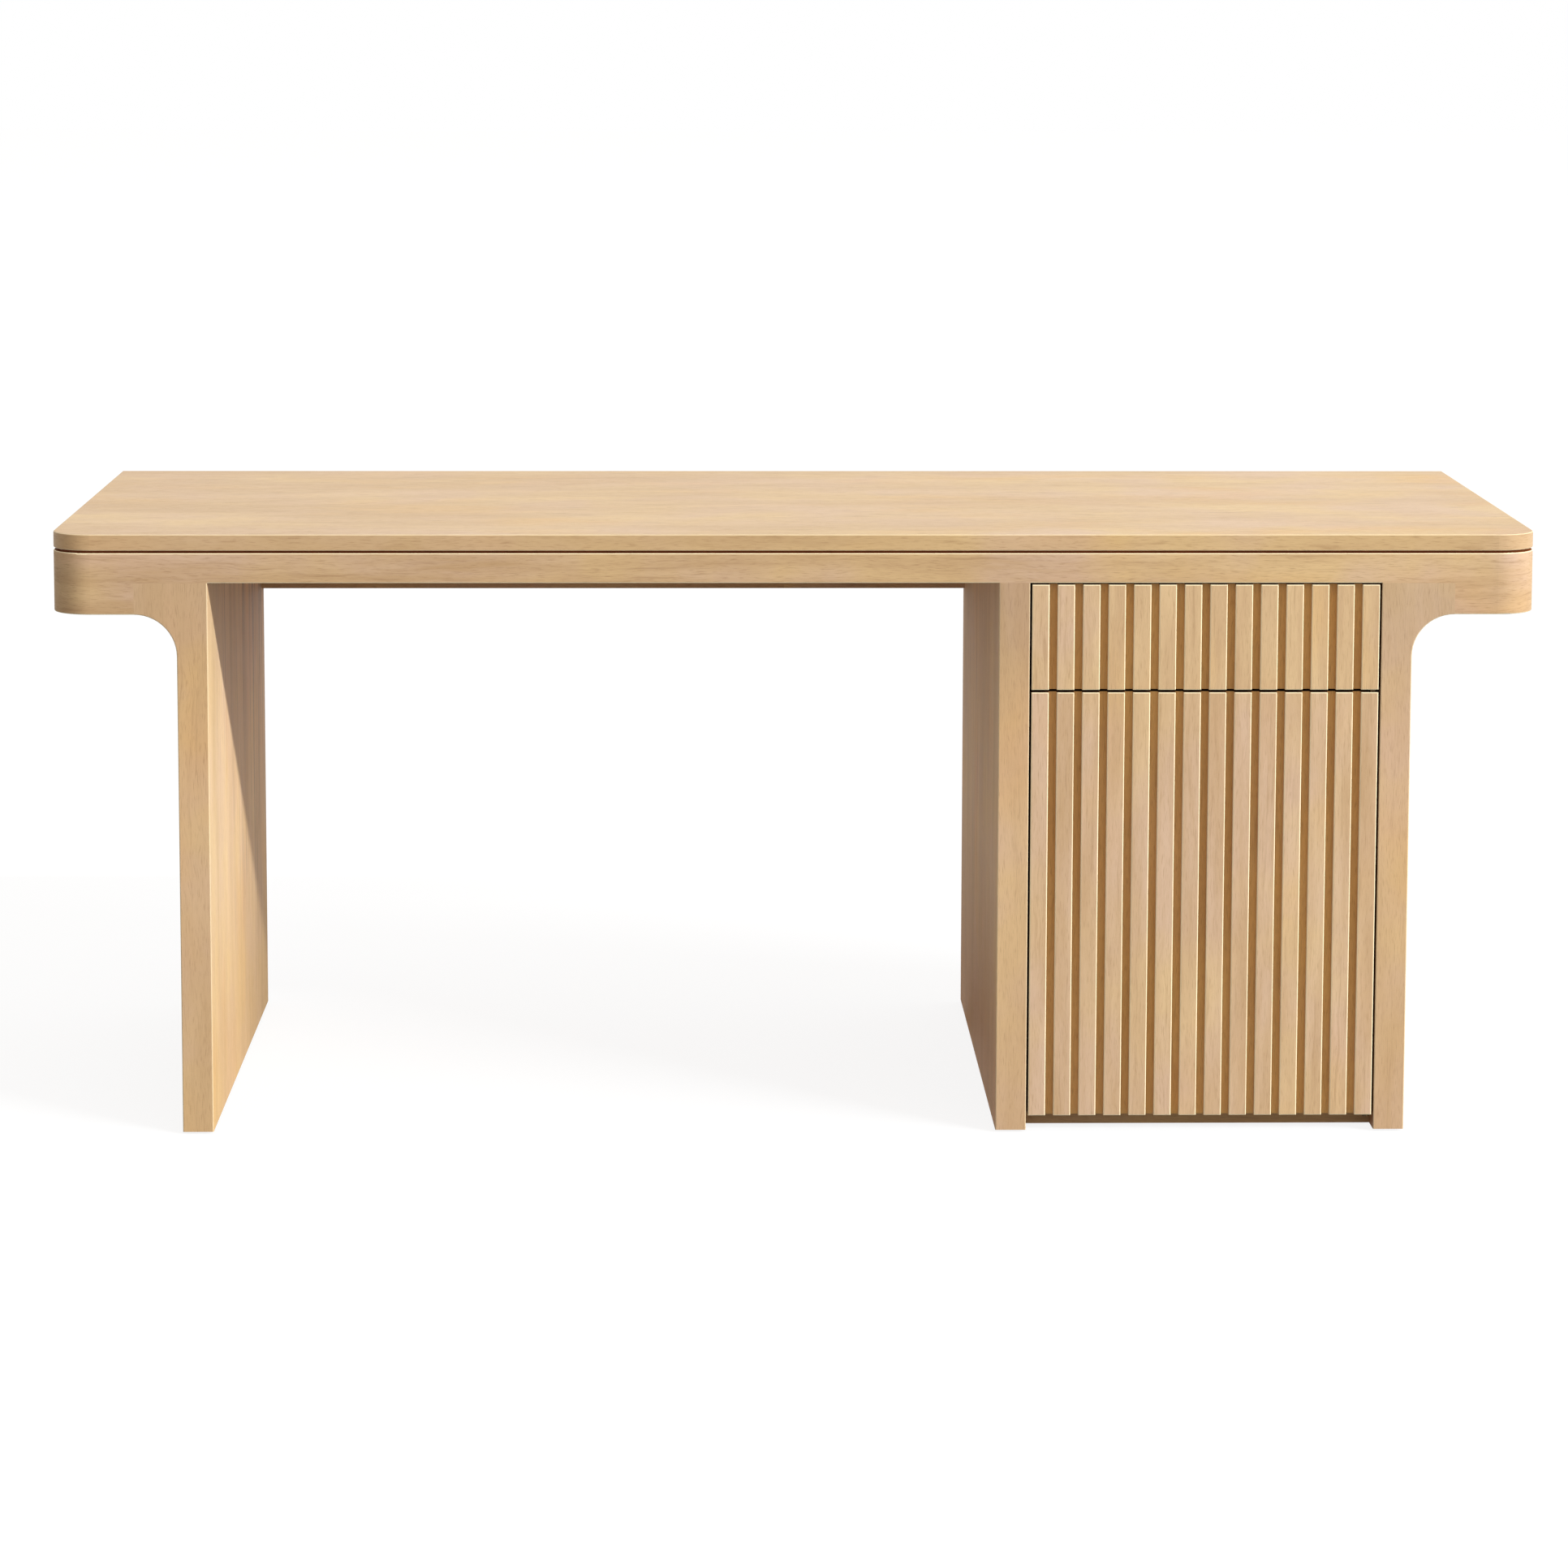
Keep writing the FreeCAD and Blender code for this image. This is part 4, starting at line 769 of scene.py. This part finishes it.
def cross_corners(mesh, seat, scale, height):
    """The twelve corners of a cross, in order round it."""
    corners = []
    for quarter in range(4):
        turn = Matrix.Rotation(quarter * math.pi / 2, 3, "Z")
        for across, up in ((CROSS_REACH, -CROSS_HALF), (CROSS_REACH, CROSS_HALF), (CROSS_HALF, CROSS_HALF)):
            spot = turn @ Vector((across * scale, up * scale, height)) * MM
            corners.append(mesh.verts.new(seat @ spot))
    return corners


def loop_edges(mesh, loop):
    """The edges of a closed loop of vertices, made where they are missing."""
    pairs = zip(loop, loop[1:] + loop[:1])
    return [mesh.edges.get(pair) or mesh.edges.new(pair) for pair in pairs]


def screw_head(mesh, place, outward):
    """One pan head screw with a sunk cross."""
    seat = seat_at(place, outward)
    crown = turn_profile(mesh, HEAD_PROFILE, seat)
    top = HEAD_PROFILE[-1][1]
    rim = cross_corners(mesh, seat, 1.0, top)
    bed = cross_corners(mesh, seat, CROSS_TAPER, top - CROSS_DEPTH)
    bmesh.ops.triangle_fill(mesh, use_beauty=True, edges=loop_edges(mesh, crown) + loop_edges(mesh, rim))
    for step in range(len(rim)):
        before = step - 1
        mesh.faces.new((rim[before], rim[step], bed[step], bed[before]))
    mesh.faces.new(bed)


def screws(name, places, outward, body):
    """A set of like screws as one piece."""
    mesh = bmesh.new()
    for place in places:
        screw_head(mesh, place, outward)
    add_piece(name, mesh, screw_steel, body)


# Faces that the heads sit on, and their places on those faces, in millimetres.
SLIDE_LEFT = 299.5
SLIDE_RIGHT = 710.5
SLIDE_LEVEL = 625
SLIDE_DEPTHS = (-330, -200, 0, 180)
BOX_FRONT_INSIDE = -338
LATCH_DEPTH = -338
LATCH_UNDERSIDE = 544
left_places = [(SLIDE_LEFT, depth, SLIDE_LEVEL) for depth in SLIDE_DEPTHS]
screws("slide_screws_left", left_places, (-1, 0, 0), "drawer")
right_places = [(SLIDE_RIGHT, depth, SLIDE_LEVEL) for depth in SLIDE_DEPTHS]
screws("slide_screws_right", right_places, (1, 0, 0), "drawer")
front_places = [(across, BOX_FRONT_INSIDE, level) for across in (372, 638) for level in (612, 656)]
screws("drawer_front_screws", front_places, (0, 1, 0), "drawer")
latch_places = [(across, LATCH_DEPTH, LATCH_UNDERSIDE) for across in (319, 342)]
screws("latch_screws", latch_places, (0, 0, -1), "carcase")

# %% [markdown]
# Dowels, bumpers and strike
#
# The corners of the drawer box are dowelled, and each dowel is sanded off a hair proud of the plywood, where
# its darker end grain shows as a small disc. Two soft domes on the back of the door land on the pedestal,
# and a thin steel disc takes the push of the latch's plunger.

# %% Other turned pieces
def turned_set(name, profile, seats, material, body):
    """A set of like turned pieces with closed tops, as one piece."""
    mesh = bmesh.new()
    for place, outward in seats:
        mesh.faces.new(turn_profile(mesh, profile, seat_at(place, outward)))
    add_piece(name, mesh, material, body)


# Places are in millimetres. End grain is a shade darker than the plywood round it.
dowel_wood = oak("sanded_dowel_ends", "up", "b98f5f", "b38a60", "9b744a", "6f4f30")
DOWEL_LEFT = 300.7
DOWEL_RIGHT = 709.3
dowel_profile = ((4.0, 0.0), (3.95, 0.1), (3.6, 0.16))
dowel_places = ((-344, 590), (-344, 660), (209, 600), (209, 660))
dowel_seats = [((DOWEL_LEFT, depth, level), (-1, 0, 0)) for depth, level in dowel_places]
dowel_seats += [((DOWEL_RIGHT, depth, level), (1, 0, 0)) for depth, level in dowel_places]
turned_set("drawer_dowel_ends", dowel_profile, dowel_seats, dowel_wood, "drawer")

DOOR_BACK = -350
bumper_profile = ((3.8, 0.0), (4.0, 0.5), (3.8, 1.2), (3.2, 1.9), (2.2, 2.4), (0.9, 2.65))
bumper_seats = [((303, DOOR_BACK, level), (0, 1, 0)) for level in (25.5, 549.5)]
turned_set("door_bumpers", bumper_profile, bumper_seats, silicone, "door")

strike_profile = ((7.0, 0.0), (7.0, 0.12), (6.85, 0.2))
strike_seats = [((330.5, DOOR_BACK, 538.5), (0, 1, 0))]
turned_set("latch_strike", strike_profile, strike_seats, zinc_steel, "door")

# %% [markdown]
# Surround
#
# The desk stands in front of nothing. Most of its light is a wide even glow from all round, a touch warmer
# than white and dimmer from the left, as beside a dark studio wall, which gives the left end its shaded
# corner. A ring of lamps could give that too, but a graded surround leaves no extra shadows. White for the
# camera is kept apart from light for the desk: Light Path tells a ray that looks at the surround, or at its
# reflection, from one that only carries light.

# %% White surround
SKY = 0.925
SKY_LEFT = 0.27
SKY_TONE = "fffaf6"
# The light dims from straight ahead to this share of the way to the left.
WALL_BEARINGS = (-0.9, 0.0)


def seen_directly(tree):
    """One where a ray comes from the camera, a mirror or a glass, and nought where it only brings light."""
    ray = add(tree, "LightPath").outputs
    looks = {0: ray["Is Camera Ray"], 1: ray["Is Glossy Ray"]}
    seen = add(tree, "Math", looks, operation="MAXIMUM").outputs[0]
    return add(tree, "Math", {0: seen, 1: ray["Is Transmission Ray"]}, operation="MAXIMUM").outputs[0]


world = bpy.data.worlds.new("white_surround")
world.use_nodes = True
bpy.context.scene.world = world
tree = world.node_tree
surround = tree.nodes["Background"]
bearing = add(tree, "SeparateXYZ", {0: add(tree, "TexCoord").outputs["Generated"]}).outputs["X"]
wall = {0: bearing, 1: WALL_BEARINGS[0], 2: WALL_BEARINGS[1], 3: SKY_LEFT, 4: SKY}
glow = add(tree, "MapRange", wall, interpolation_type="SMOOTHSTEP").outputs[0]
direct = seen_directly(tree)
level = add(tree, "Mix", {0: direct, 2: glow, 3: 1.0}).outputs[0]
tree.links.new(level, surround.inputs["Strength"])
warmth = add(tree, "Mix", {0: direct, 6: linear(SKY_TONE), 7: WHITE}, data_type="RGBA").outputs[2]
tree.links.new(warmth, surround.inputs["Color"])
print("surround glows from", SKY_LEFT, "on the left to", SKY)

# %% [markdown]
# Floor
#
# The floor is white to the camera, runs on into the surround without a line, and still takes the desk's
# shadow. A shadow catcher would need a clear picture with white laid under it later. Here one wide face
# glows for rays that look at it, and adds a little plain diffuse, which is the part that the shadow darkens.

# %% White floor
FLOOR_REACH = 40
FLOOR_LIT = "909090"
FLOOR_SEEN = "6f6f6f"
FLOOR_GLOW = 0.87
floor_mesh = bpy.data.meshes.new("floor")
floor_turns = ((-1, -1), (1, -1), (1, 1), (-1, 1))
floor_corners = [(FLOOR_REACH * across, FLOOR_REACH * ahead, 0) for across, ahead in floor_turns]
floor_mesh.from_pydata(floor_corners, [], [(0, 1, 2, 3)])
floor = bpy.data.objects.new("floor", floor_mesh)
bpy.context.scene.collection.objects.link(floor)
floor_paint = bpy.data.materials.new("white_floor")
floor_paint.use_nodes = True
tree = floor_paint.node_tree
tree.nodes.remove(tree.nodes["Principled BSDF"])
direct = seen_directly(tree)
pair = {0: direct, 6: linear(FLOOR_LIT), 7: linear(FLOOR_SEEN)}
grey = add(tree, "Mix", pair, data_type="RGBA").outputs[2]
matt = add(tree, "BsdfDiffuse", {"Color": grey}).outputs[0]
glow = add(tree, "MapRange", {0: direct, 4: FLOOR_GLOW}).outputs[0]
lift = add(tree, "Emission", {"Color": WHITE, "Strength": glow}).outputs[0]
both = add(tree, "AddShader", {0: matt, 1: lift}).outputs[0]
tree.links.new(both, tree.nodes["Material Output"].inputs["Surface"])
floor_mesh.materials.append(floor_paint)
print("floor reaches", FLOOR_REACH, "m each way")

# %% [markdown]
# Key lamp
#
# The shadow of the top falls down the inside of the left leg with one straight slanted edge. A small lamp
# would draw that edge sharp, and a round soft one would blur it. A long strip of light that lies level,
# from half right to far right, keeps it straight: every point of the strip throws the apron's lower edge
# on the same slant, which the strip's height over its distance in front sets. Its light is a touch cooler
# than the surround's. It is kept out of reflections, as a lamp behind a flag is, so the lacquer shows no
# hot streak.

# %% Key lamp
# How far in front of the desk, in metres, then how high and how far to the right as shares of that.
LAMP_AHEAD = 14.0
LAMP_RISE = 0.815
LAMP_SIDE = (1.0, 3.0)
LAMP_WIDTH = 0.7
LAMP_WATTS = 19300
LAMP_TONE = "f5fbff"
APRON_FOOT = 690 * MM
lamp = bpy.data.lights.new("key_lamp", "AREA")
lamp.shape = "RECTANGLE"
lamp.size = LAMP_AHEAD * (LAMP_SIDE[1] - LAMP_SIDE[0])
lamp.size_y = LAMP_WIDTH
lamp.energy = LAMP_WATTS
lamp.color = linear(LAMP_TONE)[:3]
key = bpy.data.objects.new("key_lamp", lamp)
key.visible_glossy = False
bpy.context.scene.collection.objects.link(key)
lit_edge = Vector((0.0, FRONT, APRON_FOOT))
key.location = lit_edge + LAMP_AHEAD * Vector((sum(LAMP_SIDE) / 2, -1.0, LAMP_RISE))
key.rotation_euler = (math.pi / 2 - math.atan(LAMP_RISE), 0, 0)
print("key lamp stands at", [round(part, 1) for part in key.location])

# %% [markdown]
# Camera
#
# The desk is seen from a little above and a hair left of its middle, from about six metres away, with a
# long lens, so its uprights stay nearly parallel. The lens shift slides the frame without turning the
# camera, as a view camera does. Standard view transform shows colours as they are written.

# %% Camera
LENS = 107.9
LENS_SHIFT = -0.15
FAR_CLIP = 200
CAMERA_PLACE = (-0.1292, -6.1035, 1.4198)
TILT_DOWN = math.radians(6.846)
TURN_LEFT = math.radians(-1.143)
LEAN = math.radians(0.129)
eye = bpy.data.cameras.new("camera")
eye.lens = LENS
eye.shift_y = LENS_SHIFT
eye.clip_end = FAR_CLIP
camera = bpy.data.objects.new("camera", eye)
camera.location = CAMERA_PLACE
aim = Euler((math.pi / 2 - TILT_DOWN, 0, TURN_LEFT)).to_matrix() @ Matrix.Rotation(LEAN, 3, "Z")
camera.rotation_euler = aim.to_euler()
bpy.context.scene.collection.objects.link(camera)
bpy.context.scene.camera = camera
bpy.context.scene.view_settings.view_transform = "Standard"
print("camera looks from", [round(part, 2) for part in camera.location])
